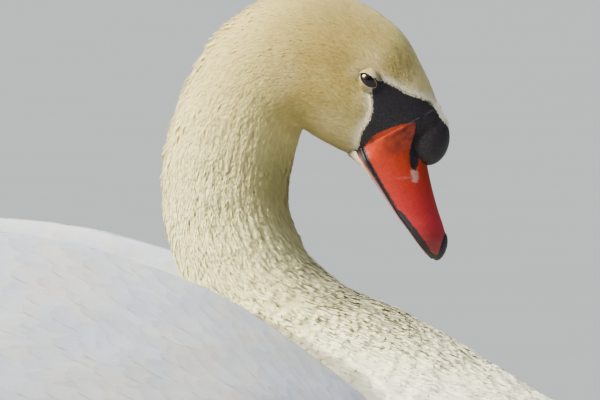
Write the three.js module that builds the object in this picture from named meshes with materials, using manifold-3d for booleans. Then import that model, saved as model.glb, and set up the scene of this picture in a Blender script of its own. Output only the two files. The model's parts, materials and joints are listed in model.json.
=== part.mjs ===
// A mute swan cob as a still, life-size museum model. It sits on its belly with its feet tucked under it,
// its neck drawn back in an S, its bill lowered and its wings a little raised, as in a threat display.
//
// Millimetres, +Z up, +X forwards, +Y to the bird's left. The origin is the middle of the flat under the belly.
// Every solid reaches out to the tips of its feathers. The right side is made, and the left side mirrors it.

import * as THREE from "three";
import { mergeVertices } from "three/addons/utils/BufferGeometryUtils.js";
import Module from "manifold-3d";

const wasm = await Module();
wasm.setup();

// ---------------------------------------------------------------- driving dimensions, in millimetres

const GAP = 0.3; // between solids that meet
const SIDES = { right: -1, left: 1 };

// The body from tail to forehead, as sections across it: a point of the back, nape or crown (forward, height), the
// point across from it on the belly, breast or throat, and the half width. Over the breast the sections fan out
// from the hollow where the neck leaves the back.
const BODY = [
  [-424, 230, -424, 221, 0.6],
  [-398, 236, -398, 198, 29],
  [-358, 242, -358, 160, 49],
  [-310, 253, -310, 110, 76],
  [-255, 269, -255, 60, 109],
  [-190, 286, -190, 18, 141],
  [-112, 296, -112, -4, 161],
  [-35, 300, -30, -6, 168],
  [30, 302, 45, -5, 167],
  [42, 303, 118, 4, 162],
  [49, 305, 186, 28, 152],
  [52, 308, 243, 70, 138],
  [53, 311, 282, 125, 122],
  [52, 315, 301, 184, 106],
  [50, 319, 297, 237, 92],
  [47, 324, 274, 272, 80],
  [43, 330, 241, 294, 70],
  [39, 337, 207, 315, 61],
  [34.5, 346, 168, 337, 54],
  [28.5, 358, 133.5, 352.5, 48],
  [22, 376, 108.5, 374, 43],
  [16.6, 402, 96.8, 403, 38],
  [18.6, 440, 98.8, 427, 36.5],
  [33, 481, 104, 447, 36],
  [55, 513.5, 106, 448.9, 36],
  [92, 535.5, 110, 446.5, 35],
  [133, 532, 117, 442.5, 32.5],
  [164, 513, 124.5, 438.6, 28.5],
  [180.5, 486, 130, 436, 23.5],
  [189.5, 464, 134.5, 434.6, 19.2],
];
const LENGTHS = {
  trunk: { from: 0, to: 16, step: 1 },
  neck_lower: { from: 16, to: 19, step: 1 },
  neck_middle: { from: 19, to: 21, step: 0.5 },
  neck_upper: { from: 21, to: 23, step: 0.5 },
};
const HEAD = { from: 23, to: BODY.length - 1, step: 0.5 };
const BODY_SIDES = 26;
const SQUARENESS = { plain: 0.95, belly: 0.82, from: 60, to: 150 }; // 1 for an ellipse; wide sections sit squarer
const HEAD_TURN = { axis: 68, angle: THREE.MathUtils.degToRad(-4), from: 19 }; // to the bird's right

// The upper mandible, from the forehead to the tip: culmen, cutting edge, half width and the lower mandible's
// thickness under it.
const BILL = [
  [181, 459.2, 143.4, 439.0, 18.6, 10.2],
  [180, 442.5, 147, 431.5, 18, 7.2],
  [181.7, 428.3, 152.2, 421.8, 16.9, 4.8],
  [184.6, 414.5, 159.5, 409.2, 16.1, 3.4],
  [188.3, 401, 166.5, 397.8, 16.2, 2.8],
  [191.6, 391, 173.2, 388.6, 16.3, 2.4],
  [193.4, 383.5, 178.4, 381.0, 14.6, 2.2],
  [192.6, 376.5, 182.8, 374.9, 10.6, 2],
  [190, 371.6, 186, 371, 5, 1.6],
];
const BILL_LOWER_NARROWER = 1.6;
const KNOB = { at: [182, 445.6], long: 17.4, thick: 13.6, halfWidth: 11.8, lean: 0.03 };
const NAIL = { at: [189.4, 378.6], long: 9, thick: 4.4, halfWidth: 7.2, lean: 0.26 };
const EYE = { at: [148.3, 481.3], radius: 7.6, out: 22.1 };

// One wing's sections: how far forward; its crest, the point its side bulges towards and its lower edge, each as
// out and up; and how deep it reaches towards the trunk.
const WING = [
  { x: 219, crest: [124, 214], bulge: [130, 206], low: [127, 198], depth: 3 },
  { x: 214, crest: [119, 228], bulge: [138, 208], low: [129, 184], depth: 14 },
  { x: 202, crest: [112, 243], bulge: [156, 211], low: [132, 165], depth: 26 },
  { x: 175, crest: [111, 266], bulge: [176, 217], low: [144, 146], depth: 44 },
  { x: 128, crest: [109, 307], bulge: [198, 238], low: [160, 121], depth: 62 },
  { x: 62, crest: [102, 353], bulge: [214, 262], low: [171, 106], depth: 78 },
  { x: -18, crest: [95, 382], bulge: [220, 276], low: [172, 106], depth: 92 },
  { x: -85, crest: [89, 393], bulge: [218, 284], low: [165, 117], depth: 96 },
  { x: -150, crest: [81, 396], bulge: [205, 290], low: [150, 139], depth: 90 },
  { x: -214, crest: [70, 386], bulge: [180, 290], low: [124, 172], depth: 72 },
  { x: -270, crest: [57, 358], bulge: [144, 284], low: [95, 200], depth: 48 },
  { x: -320, crest: [44, 320], bulge: [102, 272], low: [68, 226], depth: 24 },
  { x: -358, crest: [35, 287], bulge: [60, 264], low: [48, 244], depth: 10 },
  { x: -380, crest: [36, 266], bulge: [41, 262], low: [41, 258], depth: 3 },
];
const WING_DIVISION = -95; // how far forward the coverts end and the secondaries begin
const WING_RIM = { least: 6, perDepth: 0.08, most: 0.8, fullness: 0.6 };

// The folded primaries show behind the secondaries, over the tail: their ends as forward, out and up.
const PRIMARIES = { root: [-322, 48, 228], tip: [-432, 13, 252], halfHeight: 16, halfThick: 5 };

// The tail: how far forward, height, half width and half thickness.
const TAIL = [
  [-290, 213, 40, 10],
  [-315, 216, 58, 9],
  [-350, 220, 72, 7],
  [-402, 229, 74, 4.5],
  [-446, 238, 56, 3],
  [-475, 244, 29, 2],
  [-490, 247, 7, 1.3],
];
const TAIL_DROOP = 0.16; // how steeply each side of the tail falls away from its middle

// A foot under the belly: its joints and the tips of its toes, as forward, out and up.
const FOOT = {
  hock: [-158, 88, 13],
  ankle: [-56, 104, 10],
  hindToe: [-88, 84, 6],
  toes: { inner: [42, 84, 5], middle: [82, 118, 5], outer: [50, 158, 5] },
  shankRadius: 8,
  toeRadius: 5.4,
  webThick: 2.6,
  webHollow: 14,
  claw: 13,
};

const FINISHES = {
  whiteFeather: { color: 0xf1ece0, roughness: 0.85 },
  stainedFeather: { color: 0xd9c893, roughness: 0.85 },
  wingFeather: { color: 0xeef0f2, roughness: 0.8 },
  blackSkin: { color: 0x211d20, roughness: 0.55 },
  orangeBill: { color: 0xd4542a, roughness: 0.45 },
  eye: { color: 0x140d0a, roughness: 0.08 },
  footSkin: { color: 0x26272a, roughness: 0.6 },
};

// ---------------------------------------------------------------- making solids

/** A closed geometry as a solid that manifold-3d can cut and join. */
function solidOf(geometry) {
  const bare = geometry.clone().deleteAttribute("normal").deleteAttribute("uv");
  const { attributes, index } = mergeVertices(bare, 1e-4);
  return new wasm.Manifold(
    new wasm.Mesh({
      numProp: 3,
      vertProperties: new Float32Array(attributes.position.array),
      triVerts: new Uint32Array(index.array),
    }),
  );
}

/** A solid's triangles as a three.js geometry. */
function geometryOf(solid) {
  const { vertProperties, triVerts } = solid.getMesh();
  const geometry = new THREE.BufferGeometry();
  geometry.setAttribute("position", new THREE.BufferAttribute(vertProperties, 3));
  geometry.setIndex(new THREE.BufferAttribute(triVerts, 1));
  geometry.computeVertexNormals();
  return geometry;
}

/** A solid whose skin runs over rings of points, each end closed to its middle. The rings may turn either way. */
function loft(rings) {
  const sides = rings[0].length;
  const last = (rings.length - 1) * sides;
  const middle = (ring) => ring.reduce((sum, p) => sum.add(p), new THREE.Vector3()).divideScalar(sides);
  const [start, end] = [middle(rings[0]), middle(rings.at(-1))];
  const faces = [];
  for (let s = 0; s < sides; s++) {
    const next = (s + 1) % sides;
    for (let r = 0; r < last; r += sides) {
      faces.push(r + s, r + next, r + sides + next, r + s, r + sides + next, r + sides + s);
    }
    faces.push(last + sides, next, s, last + sides + 1, last + s, last + next);
  }
  const [a, b, c] = rings[Math.floor(rings.length / 2)].filter((_, i) => i % Math.floor(sides / 3) === 0);
  const facing = b.clone().sub(a).cross(c.clone().sub(a)).dot(end.clone().sub(start));
  if (facing < 0) faces.reverse();
  return solidOf(new THREE.BufferGeometry().setFromPoints([...rings.flat(), start, end]).setIndex(faces));
}

/** Smooth values between rows of numbers, at a place that counts rows. */
function between(rows, place) {
  const i = Math.min(Math.floor(place), rows.length - 2);
  const t = place - i;
  const [a, b, c, d] = [i - 1, i, i + 1, i + 2].map((k) => rows[Math.min(Math.max(k, 0), rows.length - 1)]);
  return b.map((value, k) => {
    const [bend, ease] = [2 * a[k] - 5 * value + 4 * c[k] - d[k], 3 * (value - c[k]) + d[k] - a[k]];
    return value + 0.5 * t * (c[k] - a[k] + t * (bend + t * ease));
  });
}

/** Places from one row to another, a row or a half apart. */
function places(from, to, step = 0.5) {
  return Array.from({ length: Math.round((to - from) / step) + 1 }, (_, i) => from + i * step);
}

/** A ring of points: what `point` gives for each angle once round. */
function ring(count, point) {
  return Array.from({ length: count }, (_, i) => point((2 * Math.PI * i) / count));
}

/** Sines and cosines raised to a power, for sections squarer than an ellipse. */
const power = (value, exponent) => Math.sign(value) * Math.abs(value) ** exponent;

/** An ellipsoid in the middle plane, its long axis leaning forwards from upright. */
function egg({ at: [x, z], long, thick, halfWidth, lean }, grow = 0) {
  const geometry = new THREE.SphereGeometry(1, 14, 8).rotateX(Math.PI / 2);
  geometry.scale(thick + grow, halfWidth + grow, long + grow).rotateY(lean);
  return solidOf(geometry.translate(x, 0, z));
}

/** A tapered round bar between two points. */
function bar(from, to, fromRadius, toRadius) {
  const [a, b] = [new THREE.Vector3(...from), new THREE.Vector3(...to)];
  const geometry = new THREE.CylinderGeometry(toRadius, fromRadius, a.distanceTo(b), 6);
  const turn = new THREE.Quaternion().setFromUnitVectors(new THREE.Vector3(0, 1, 0), b.clone().sub(a).normalize());
  return solidOf(geometry.applyQuaternion(turn).translate(...a.add(b).divideScalar(2)));
}

function ball([x, y, z], radius) {
  return solidOf(new THREE.SphereGeometry(radius, 12, 6).rotateX(Math.PI / 2).translate(x, y, z));
}

/** Everything on the side of a plane that its normal points to, from `shift` past it. */
function beyond(point, normal, shift = 0) {
  const size = 2000;
  const turn = new THREE.Quaternion().setFromUnitVectors(new THREE.Vector3(0, 0, 1), normal);
  const middle = point.clone().addScaledVector(normal, size / 2 + shift);
  return solidOf(new THREE.BoxGeometry(size, size, size).applyQuaternion(turn).translate(...middle));
}

// ---------------------------------------------------------------- trunk, neck and head

/** How far the neck has taken on the head's turn at a place along the body. */
function turnAt(place) {
  return THREE.MathUtils.smoothstep(place, HEAD_TURN.from, HEAD.from) * HEAD_TURN.angle;
}

/** A section of the body. A grown one clears room for the neighbours that lie on it. */
function bodyRing(place, turn, grow = 0) {
  const [backX, backZ, frontX, frontZ, halfWidth] = between(BODY, place);
  const across = new THREE.Vector2(backX - frontX, backZ - frontZ);
  const reach = (0.5 * (across.length() + 2 * grow)) / across.length();
  const wide = THREE.MathUtils.smoothstep(halfWidth, SQUARENESS.from, SQUARENESS.to);
  return ring(BODY_SIDES, (a) => {
    const square = SQUARENESS.plain + (Math.cos(a) < 0 ? wide * (SQUARENESS.belly - SQUARENESS.plain) : 0);
    const [up, out] = [reach * power(Math.cos(a), square), (halfWidth + grow) * power(Math.sin(a), square)];
    const [x, z] = [(backX + frontX) / 2 + up * across.x, (backZ + frontZ) / 2 + up * across.y];
    const point = new THREE.Vector3(x - HEAD_TURN.axis, out, z).applyAxisAngle(new THREE.Vector3(0, 0, 1), turn(place));
    return point.setX(point.x + HEAD_TURN.axis);
  });
}

/** The plane of a section of the body, facing the head. */
function planeAt(place, turn) {
  const [a, , , , , , b, , , , , , c] = bodyRing(place, turn);
  const plane = new THREE.Plane().setFromCoplanarPoints(a, b, c);
  const ahead = bodyRing(place + 0.2, turn)[BODY_SIDES / 2];
  return { point: a, normal: plane.distanceToPoint(ahead) < 0 ? plane.normal.negate() : plane.normal };
}

/** A length of the body, parted from its neighbours by thin cuts. */
function lengthOfBody({ from, to, step }, turn = turnAt) {
  const last = BODY.length - 1;
  const rings = places(Math.max(from - 1, 0), Math.min(to + 1, last), step).map((place) => bodyRing(place, turn));
  let length = loft(rings);
  if (from > 0) {
    const { point, normal } = planeAt(from, turn);
    length = length.intersect(beyond(point, normal, GAP / 2));
  }
  if (to < last) {
    const { point, normal } = planeAt(to, turn);
    length = length.intersect(beyond(point, normal.negate(), GAP / 2));
  }
  return length;
}

// ---------------------------------------------------------------- bill, knob, nail and eyes

/** The upper mandible: flat below, domed up to the culmen. */
function upperBillSolid() {
  const flat = 0.12; // how far below its middle, in half heights, a section is cut off
  const rings = places(0, BILL.length - 1).map((place) => {
    const [culmenX, culmenZ, edgeX, edgeZ, halfWidth] = between(BILL, place);
    return ring(14, (a) => {
      const rise = Math.max(Math.cos(a), -flat);
      const share = (rise + flat) / (1 + flat);
      const out = halfWidth * power(Math.sin(a), 0.85) * (1 - 0.28 * Math.max(rise, 0) ** 2);
      return new THREE.Vector3(edgeX + (culmenX - edgeX) * share, out, edgeZ + (culmenZ - edgeZ) * share);
    });
  });
  return loft(rings);
}

/** The lower mandible, along the upper one's cutting edge. */
function lowerBillSolid() {
  const rings = places(0, BILL.length - 1).map((place) => {
    const [culmenX, culmenZ, edgeX, edgeZ, halfWidth, thick] = between(BILL, place);
    const down = new THREE.Vector3(edgeX - culmenX, 0, edgeZ - culmenZ).normalize();
    return ring(12, (a) =>
      new THREE.Vector3(edgeX, (halfWidth - BILL_LOWER_NARROWER) * Math.sin(a), edgeZ).addScaledVector(
        down,
        GAP + thick * Math.max(Math.cos(a), 0) ** 0.8,
      ),
    );
  });
  return loft(rings);
}

function eyeSolid(side, grow = 0) {
  return ball([EYE.at[0], side * EYE.out, EYE.at[1]], EYE.radius + grow);
}

// ---------------------------------------------------------------- wings and tail

const WING_ROWS = WING.map(({ x, crest, bulge, low, depth }) => [x, ...crest, ...bulge, ...low, depth]);

/** A wing's section: down its outside from crest to lower edge, then back up its inside. */
function wingRing(place, side, grow) {
  const [x, crestOut, crestUp, bulgeOut, bulgeUp, lowOut, lowUp, depth] = between(WING_ROWS, place);
  const rim = Math.min(WING_RIM.least + WING_RIM.perDepth * depth, WING_RIM.most * depth);
  const steps = 8;
  const [outside, inside] = [[], []];
  for (let i = 0; i <= steps; i++) {
    const t = i / steps;
    const curve = new THREE.QuadraticBezierCurve(
      new THREE.Vector2(crestOut, crestUp),
      new THREE.Vector2(bulgeOut, bulgeUp),
      new THREE.Vector2(lowOut, lowUp),
    );
    const at = curve.getPoint(t);
    const along = curve.getTangent(t);
    const outwards = new THREE.Vector2(-along.y, along.x);
    const thick = rim + (depth - rim) * Math.sin(Math.PI * t) ** WING_RIM.fullness;
    const outer = at.clone().addScaledVector(outwards, grow);
    const inner = at.clone().addScaledVector(outwards, -thick - grow);
    outside.push(new THREE.Vector3(x, side * outer.x, outer.y));
    inside.unshift(new THREE.Vector3(x, side * inner.x, inner.y));
  }
  return [...outside, ...inside];
}

function wingSolid(side, grow = 0) {
  return loft(places(0, WING.length - 1, 1).map((place) => wingRing(place, side, grow)));
}

/** The folded primaries: a blade of oval section, narrowing to a rounded tip. */
function primariesSolid(side, grow = 0) {
  const [root, tip] = [PRIMARIES.root, PRIMARIES.tip].map((p) => new THREE.Vector3(...mirrored(p, side)));
  const rings = places(0, 4).map((place) => {
    const t = place / 4;
    const middle = root.clone().lerp(tip, t);
    const size = Math.sqrt(1.02 - t ** 3);
    return ring(10, (a) =>
      middle
        .clone()
        .add(
          new THREE.Vector3(
            0,
            (PRIMARIES.halfThick * size + grow) * Math.sin(a),
            (PRIMARIES.halfHeight * size + grow) * Math.cos(a),
          ),
        ),
    );
  });
  return loft(rings);
}

function tailSolid(grow = 0) {
  const rings = places(0, TAIL.length - 1).map((place) => {
    const [x, z, halfWidth, halfThick] = between(TAIL, place);
    return ring(14, (a) => {
      const y = (halfWidth + grow) * Math.sin(a);
      return new THREE.Vector3(x, y, z - TAIL_DROOP * Math.abs(y) + (halfThick + grow) * Math.cos(a));
    });
  });
  return loft(rings);
}

// ---------------------------------------------------------------- legs and feet

/** A point of the left side, carried over to the side asked for. */
function mirrored([x, y, z], side) {
  return [x, side * y, z];
}

/** The shank from hock to ankle, with the small hind toe beside it. */
function shankSolid(side, grow = 0) {
  const [hock, ankle, hind] = [FOOT.hock, FOOT.ankle, FOOT.hindToe].map((p) => mirrored(p, side));
  const radius = FOOT.shankRadius + grow;
  return bar(hock, ankle, radius * 1.1, radius * 0.9)
    .add(ball(hock, radius * 1.3))
    .add(bar([ankle[0] - 14, ankle[1], 9], hind, 4 + grow, 2.6 + grow));
}

/** Three toes with the web between them. */
function footSolid(side, grow = 0) {
  const ankle = mirrored(FOOT.ankle, side);
  const tips = Object.values(FOOT.toes).map((p) => mirrored(p, side));
  const outline = new THREE.Shape().moveTo(ankle[0] - 4, ankle[1]).lineTo(tips[0][0], tips[0][1]);
  for (const [from, to] of [tips.slice(0, 2), tips.slice(1)]) {
    const hollow = (from[0] + to[0]) / 2 - FOOT.webHollow;
    outline.quadraticCurveTo(hollow, (from[1] + to[1]) / 2, to[0], to[1]);
  }
  const web = new THREE.ExtrudeGeometry(outline, { depth: FOOT.webThick, bevelEnabled: false, curveSegments: 4 });
  const radius = FOOT.toeRadius + grow;
  return tips.reduce(
    (foot, tip) => foot.add(bar([ankle[0], ankle[1], 7], tip, radius * 1.2, radius)),
    solidOf(web.translate(0, 0, 1)).add(ball(ankle, radius * 1.4)),
  );
}

/** A claw that carries a toe on and curves down to the floor. */
function clawSolid(side, toe, grow = 0) {
  const [ankle, tip] = [FOOT.ankle, FOOT.toes[toe]].map((p) => new THREE.Vector3(...mirrored(p, side)));
  const ahead = tip.clone().sub(ankle).setZ(0).normalize();
  const end = tip.clone().addScaledVector(ahead, FOOT.claw).setZ(1.4);
  return bar([...tip.addScaledVector(ahead, GAP + 0.8)], [...end], 3.6 + grow, 1 + grow);
}

// ---------------------------------------------------------------- the bird

const bird = new THREE.Group();

/** Adds one solid to a group, under its name. */
function addPart(group, name, solid, finish) {
  const mesh = new THREE.Mesh(geometryOf(solid), new THREE.MeshStandardMaterial({ ...finish, metalness: 0 }));
  mesh.name = name;
  group.add(mesh);
}

const floor = solidOf(new THREE.BoxGeometry(2000, 2000, 200).translate(0, 0, -100));
const cut = (solid, ...cutters) => cutters.reduce((left, cutter) => left.subtract(cutter), solid);

// The head and all it carries turn together about the nape.
const headTurn = new THREE.Group();
headTurn.position.x = HEAD_TURN.axis;
headTurn.rotation.z = HEAD_TURN.angle;
const head = new THREE.Group();
head.position.x = -HEAD_TURN.axis;
headTurn.add(head);
bird.add(headTurn);

const bodyRoom = loft(places(0, HEAD.from, 1).map((place) => bodyRing(place, turnAt, GAP)));
const tailRoom = tailSolid(GAP);
const knobRoom = egg(KNOB, GAP);
const nailRoom = egg(NAIL, GAP);
const eyeRoom = Object.values(SIDES).map((side) => eyeSolid(side, GAP));
const wholeHead = lengthOfBody(HEAD, () => 0);
addPart(head, "head", cut(wholeHead, knobRoom, ...eyeRoom), FINISHES.stainedFeather);
addPart(head, "bill_upper", cut(upperBillSolid(), knobRoom, nailRoom), FINISHES.orangeBill);
addPart(head, "bill_lower", cut(lowerBillSolid(), nailRoom), FINISHES.blackSkin);
addPart(head, "bill_knob", egg(KNOB), FINISHES.blackSkin);
addPart(head, "bill_nail", egg(NAIL), FINISHES.blackSkin);
for (const [name, side] of Object.entries(SIDES)) {
  addPart(head, `eye_${name}`, eyeSolid(side), FINISHES.eye);
}

const legs = Object.values(SIDES).flatMap((side) => [
  shankSolid(side, GAP),
  footSolid(side, GAP),
  ...Object.keys(FOOT.toes).map((toe) => clawSolid(side, toe, GAP)),
]);
for (const [name, range] of Object.entries(LENGTHS)) {
  const length = lengthOfBody(range);
  addPart(bird, name, name === "trunk" ? cut(length, floor, ...legs) : length, FINISHES.whiteFeather);
}
addPart(bird, "tail", cut(tailSolid(), bodyRoom), FINISHES.whiteFeather);

for (const [name, side] of Object.entries(SIDES)) {
  const wing = cut(wingSolid(side), bodyRoom, tailRoom);
  const [coverts, secondaries] = [1, -1].map((ahead) =>
    beyond(new THREE.Vector3(WING_DIVISION, 0, 0), new THREE.Vector3(ahead, 0, 0), GAP / 2),
  );
  addPart(bird, `wing_${name}_coverts`, wing.intersect(coverts), FINISHES.wingFeather);
  addPart(bird, `wing_${name}_secondaries`, wing.intersect(secondaries), FINISHES.wingFeather);
  addPart(
    bird,
    `wing_${name}_primaries`,
    cut(primariesSolid(side), wingSolid(side, GAP), tailRoom, bodyRoom),
    FINISHES.wingFeather,
  );
  addPart(bird, `leg_${name}`, cut(shankSolid(side), floor), FINISHES.footSkin);
  addPart(bird, `foot_${name}`, cut(footSolid(side), floor, shankSolid(side, GAP)), FINISHES.footSkin);
  for (const toe of Object.keys(FOOT.toes)) {
    addPart(bird, `claw_${name}_${toe}`, cut(clawSolid(side, toe), floor, footSolid(side, GAP)), FINISHES.footSkin);
  }
}

export default bird;
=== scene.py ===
"""A life-size mute swan cob at rest on its belly, neck drawn back and wings raised a little.

One skin runs from the tail to the forehead. Feathers, bill, eyes, feet and wings are built over it as meshes.
Sizes are in millimetres in the tables and in metres in the meshes.
"""

import json
import logging
import math
from dataclasses import dataclass, field
from enum import Enum
from typing import Callable

import bpy
import numpy as np
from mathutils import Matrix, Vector

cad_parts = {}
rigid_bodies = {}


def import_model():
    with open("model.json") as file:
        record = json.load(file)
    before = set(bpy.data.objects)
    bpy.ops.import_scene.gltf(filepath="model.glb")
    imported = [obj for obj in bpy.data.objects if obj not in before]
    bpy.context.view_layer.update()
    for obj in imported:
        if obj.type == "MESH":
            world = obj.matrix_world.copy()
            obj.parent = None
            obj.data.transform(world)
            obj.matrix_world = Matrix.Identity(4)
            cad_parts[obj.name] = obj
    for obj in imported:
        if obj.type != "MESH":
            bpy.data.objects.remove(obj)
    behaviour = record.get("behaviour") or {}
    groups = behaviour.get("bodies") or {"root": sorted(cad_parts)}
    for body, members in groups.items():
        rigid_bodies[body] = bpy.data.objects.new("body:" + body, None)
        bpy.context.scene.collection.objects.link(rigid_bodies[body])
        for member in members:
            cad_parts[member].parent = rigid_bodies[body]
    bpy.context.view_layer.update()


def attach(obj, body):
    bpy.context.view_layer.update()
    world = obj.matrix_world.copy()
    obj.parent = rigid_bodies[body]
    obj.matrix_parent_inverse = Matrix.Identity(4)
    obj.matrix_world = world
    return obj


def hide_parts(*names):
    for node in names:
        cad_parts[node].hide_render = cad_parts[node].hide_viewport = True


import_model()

logging.basicConfig(level=logging.INFO, format="%(message)s")
log = logging.getLogger("swan")

Array = np.ndarray
Object = bpy.types.Object
Material = bpy.types.Material
Socket = bpy.types.NodeSocket
Triple = tuple[float, float, float]

MM = 0.001
RNG_SEED = 20
HEAD_AXIS = 68.0
HEAD_TURN = math.radians(-4.0)


class Side(Enum):
    """The bird's two sides, each with the sign of its sideways positions."""

    RIGHT = -1.0
    LEFT = 1.0

    @property
    def label(self) -> str:
        """The side's name, as it stands in the names of pieces."""
        return self.name.lower()


@dataclass(frozen=True)
class Egg:
    """An ellipsoid: its middle, its radii, and how far it leans in radians."""

    at: Triple
    radii: Triple
    lean: float


# Sections of the body from tail to forehead: a point of the back (forward, height), the point across from it on the
# belly, breast or throat, and the half width.
BODY = np.array([
    [-424, 230, -424, 221, 0.6], [-398, 236, -398, 198, 29], [-358, 242, -358, 160, 49],
    [-310, 253, -310, 110, 76], [-255, 269, -255, 60, 109], [-190, 286, -190, 18, 141],
    [-112, 296, -112, -4, 161], [-35, 300, -30, -6, 168], [30, 302, 45, -5, 167],
    [42, 303, 118, 4, 162], [49, 305, 186, 28, 152], [52, 308, 243, 70, 138],
    [53, 311, 282, 125, 122], [52, 315, 301, 184, 106], [50, 319, 297, 237, 92],
    [47, 324, 274, 272, 80], [43, 330, 241, 294, 70], [39, 337, 207, 315, 61],
    [34.5, 346, 168, 337, 54], [28.5, 358, 133.5, 352.5, 48], [22, 376, 108.5, 374, 43],
    [16.6, 402, 96.8, 403, 38], [18.6, 440, 98.8, 427, 36.5], [33, 481, 104, 447, 36],
    [55, 513.5, 106, 448.9, 36], [92, 535.5, 110, 446.5, 35], [133, 532, 117, 442.5, 32.5],
    [164, 513, 124.5, 438.6, 28.5], [180.5, 486, 130, 436, 23.5], [189.5, 464, 134.5, 434.6, 19.2],
])
LAST = len(BODY) - 1
# Sections where the head's turn is complete, and from which the marks of the face are drawn.
NAPE = 23
FACE = 24

# The upper mandible: culmen, cutting edge, half width and the lower mandible's thickness under it.
BILL = np.array([
    [181, 459.2, 143.4, 439.0, 18.6, 10.2], [180, 442.5, 147, 431.5, 18, 7.2],
    [181.7, 428.3, 152.2, 421.8, 16.9, 4.8], [184.6, 414.5, 159.5, 409.2, 16.1, 3.4],
    [188.3, 401, 166.5, 397.8, 16.2, 2.8], [191.6, 391, 173.2, 388.6, 16.3, 2.4],
    [193.4, 383.5, 178.4, 381.0, 14.6, 2.2], [192.6, 376.5, 182.8, 374.9, 10.6, 2],
    [190, 371.6, 186, 371, 5, 1.6],
])

# Wing sections: how far forward; crest, bulge and lower edge, each as out and up; and the depth inwards.
WING = np.array([
    [219, 124, 214, 130, 206, 127, 198, 3], [214, 119, 228, 138, 208, 129, 184, 14],
    [202, 112, 243, 156, 211, 132, 165, 26], [175, 111, 266, 176, 217, 144, 146, 44],
    [128, 109, 307, 198, 238, 160, 121, 62], [62, 102, 353, 214, 262, 171, 106, 78],
    [-18, 95, 382, 220, 276, 172, 106, 92], [-85, 89, 393, 218, 284, 165, 117, 96],
    [-150, 81, 396, 205, 290, 150, 139, 90], [-214, 70, 386, 180, 290, 124, 172, 72],
    [-270, 57, 358, 144, 284, 95, 200, 48], [-320, 44, 320, 102, 272, 68, 226, 24],
    [-358, 35, 287, 60, 264, 48, 244, 10], [-380, 36, 266, 41, 262, 41, 258, 3],
])
# How far the feathers of the crest stand above it, from front to back as forward and rise, and the left wing's share.
CREST_RISE = np.array([
    [219, 0], [202, 2], [175, 5], [141, 6.5], [120, 6], [80, 4.8], [-60, 4.8], [-150, 3], [-300, 1], [-380, 0],
])
LEFT_RISE = 0.6

# Outlines seen from the side, as forward and height.
LORE = np.array([
    [149.0, 482.0], [151.1, 480.4], [161, 476.2], [168.5, 471.7], [175.1, 469.6], [182.5, 467.1], [186.7, 462.6],
    [192, 458], [198, 450], [198, 425], [160, 425], [143, 420], [139.8, 428], [138.8, 434.1], [139.5, 441.2],
    [141.2, 447.8], [146.4, 456.1], [148.1, 462.7], [147.2, 471.5], [147.6, 476.5],
])
# The eyeball, and the middle and long axis of the eye's opening as the head's side is seen.
EYE_AT = (148.3, 22.1, 481.3)
EYE_RADIUS = 7.6
EYE_SEEN = (145.0, 480.0)
EYE_LONG = (0.755, -0.656)
# For each millimetre that a point stands out, how much further back, lower and further ahead it is seen.
SEEN_BACK = 0.122
SEEN_DOWN = 0.049
SEEN_AHEAD = 0.052
SHEATH = np.array([
    [142.4, 439.6], [146.9, 444.8], [151, 447.8], [155.2, 449.8], [163.5, 452.9], [171.8, 454.3], [176.5, 454.6],
    [178, 430], [150, 418], [138, 430],
])
STREAK = np.array([
    [174.6, 456], [173.8, 449], [171.8, 442.3], [170.5, 435.7], [170.9, 428.5], [172.2, 425.5], [174.6, 425.0],
    [176.2, 428.5], [176.3, 433.5], [181, 432.5], [186, 446], [182, 460],
])
PATCH = np.array([[171.4, 424.5], [172.8, 426.4], [175.2, 425.2], [176.6, 421.5], [175.4, 417.8], [172.6, 417.6]])
KNOB = Egg((182.0, 0.0, 445.6), (13.6, 11.8, 17.4), 0.03)
KNOB_ROOT = Egg((178.0, 0.0, 457.6), (12.5, 14.6, 7.8), -0.49)
TIP = np.array([
    [193.4, 389.5], [191.4, 381.0], [190.2, 375.2], [187.7, 372.9], [184.1, 375.2], [176.5, 386.4], [171.2, 393],
    [166.5, 399.0], [158, 404], [150, 385], [176, 360], [200, 360], [200, 391],
])
CHIN = np.array([[138.6, 433.6], [144.3, 424.9], [149.6, 416.6], [149.6, 413], [136, 420], [126, 434], [130, 440]])
NAIL = Egg((189.4, 0.0, 378.6), (4.6, 7.4, 9.2), 0.26)

# Soft spots on the head, each as forward, height, size and depth: stained ones, pale ones, and dull ones that are
# painted shade on the crown and the face.
OCHRE_SPOTS = (
    (111.7, 491.4, 9, 0.8), (122.5, 497.8, 11, 0.8), (162, 484, 11, 0.55), (132.6, 477, 7, 0.6), (111.7, 471, 10, 0.75),
    (129, 462.5, 9, 0.4), (126, 452.5, 8, 0.25), (100, 455, 9, 0.4), (150, 500, 16, 0.3), (131, 489, 7, 0.5),
    (130, 517, 20, 0.75),
)
PALE_SPOTS = (
    (139.5, 484, 4, 0.6), (144, 466, 6, 0.5), (139, 445, 8, 0.6), (150, 490, 8, 0.5), (172, 474, 8, 0.5),
    (98, 480, 8, 0.3), (124, 452, 10, 0.5),
)
# Painted shade: darker spots on the top and front of the crown and on the cheek.
DULL_SHADE_SPOTS = ((130, 522, 28, 0.34), (167, 487, 12, 0.22), (130, 489, 9, 0.16))

# The tail: forward, height, half width and half thickness.
TAIL = np.array([
    [-290, 213, 40, 10], [-315, 216, 58, 9], [-350, 220, 72, 7], [-402, 229, 74, 4.5], [-446, 238, 56, 3],
    [-475, 244, 29, 2], [-490, 247, 7, 1.3],
])
TAIL_DROOP = 0.16
PRIMARIES = {"root": (-322.0, 48.0, 228.0), "tip": (-432.0, 13.0, 252.0)}

# Each foot: hock, ankle and hind toe's tip, and the front toes' tips with how far along each its knuckles are.
HOCK = (-158.0, 88.0, 13.0)
ANKLE = (-56.0, 104.0, 10.0)
HIND = (-88.0, 84.0, 6.0)
TOES = {
    "inner": ((42.0, 84.0, 5.0), (0.52,)),
    "middle": ((82.0, 118.0, 5.0), (0.40, 0.72)),
    "outer": ((50.0, 158.0, 5.0), (0.34, 0.58, 0.80)),
}


# ---------------------------------------------------------------- small tools


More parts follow.
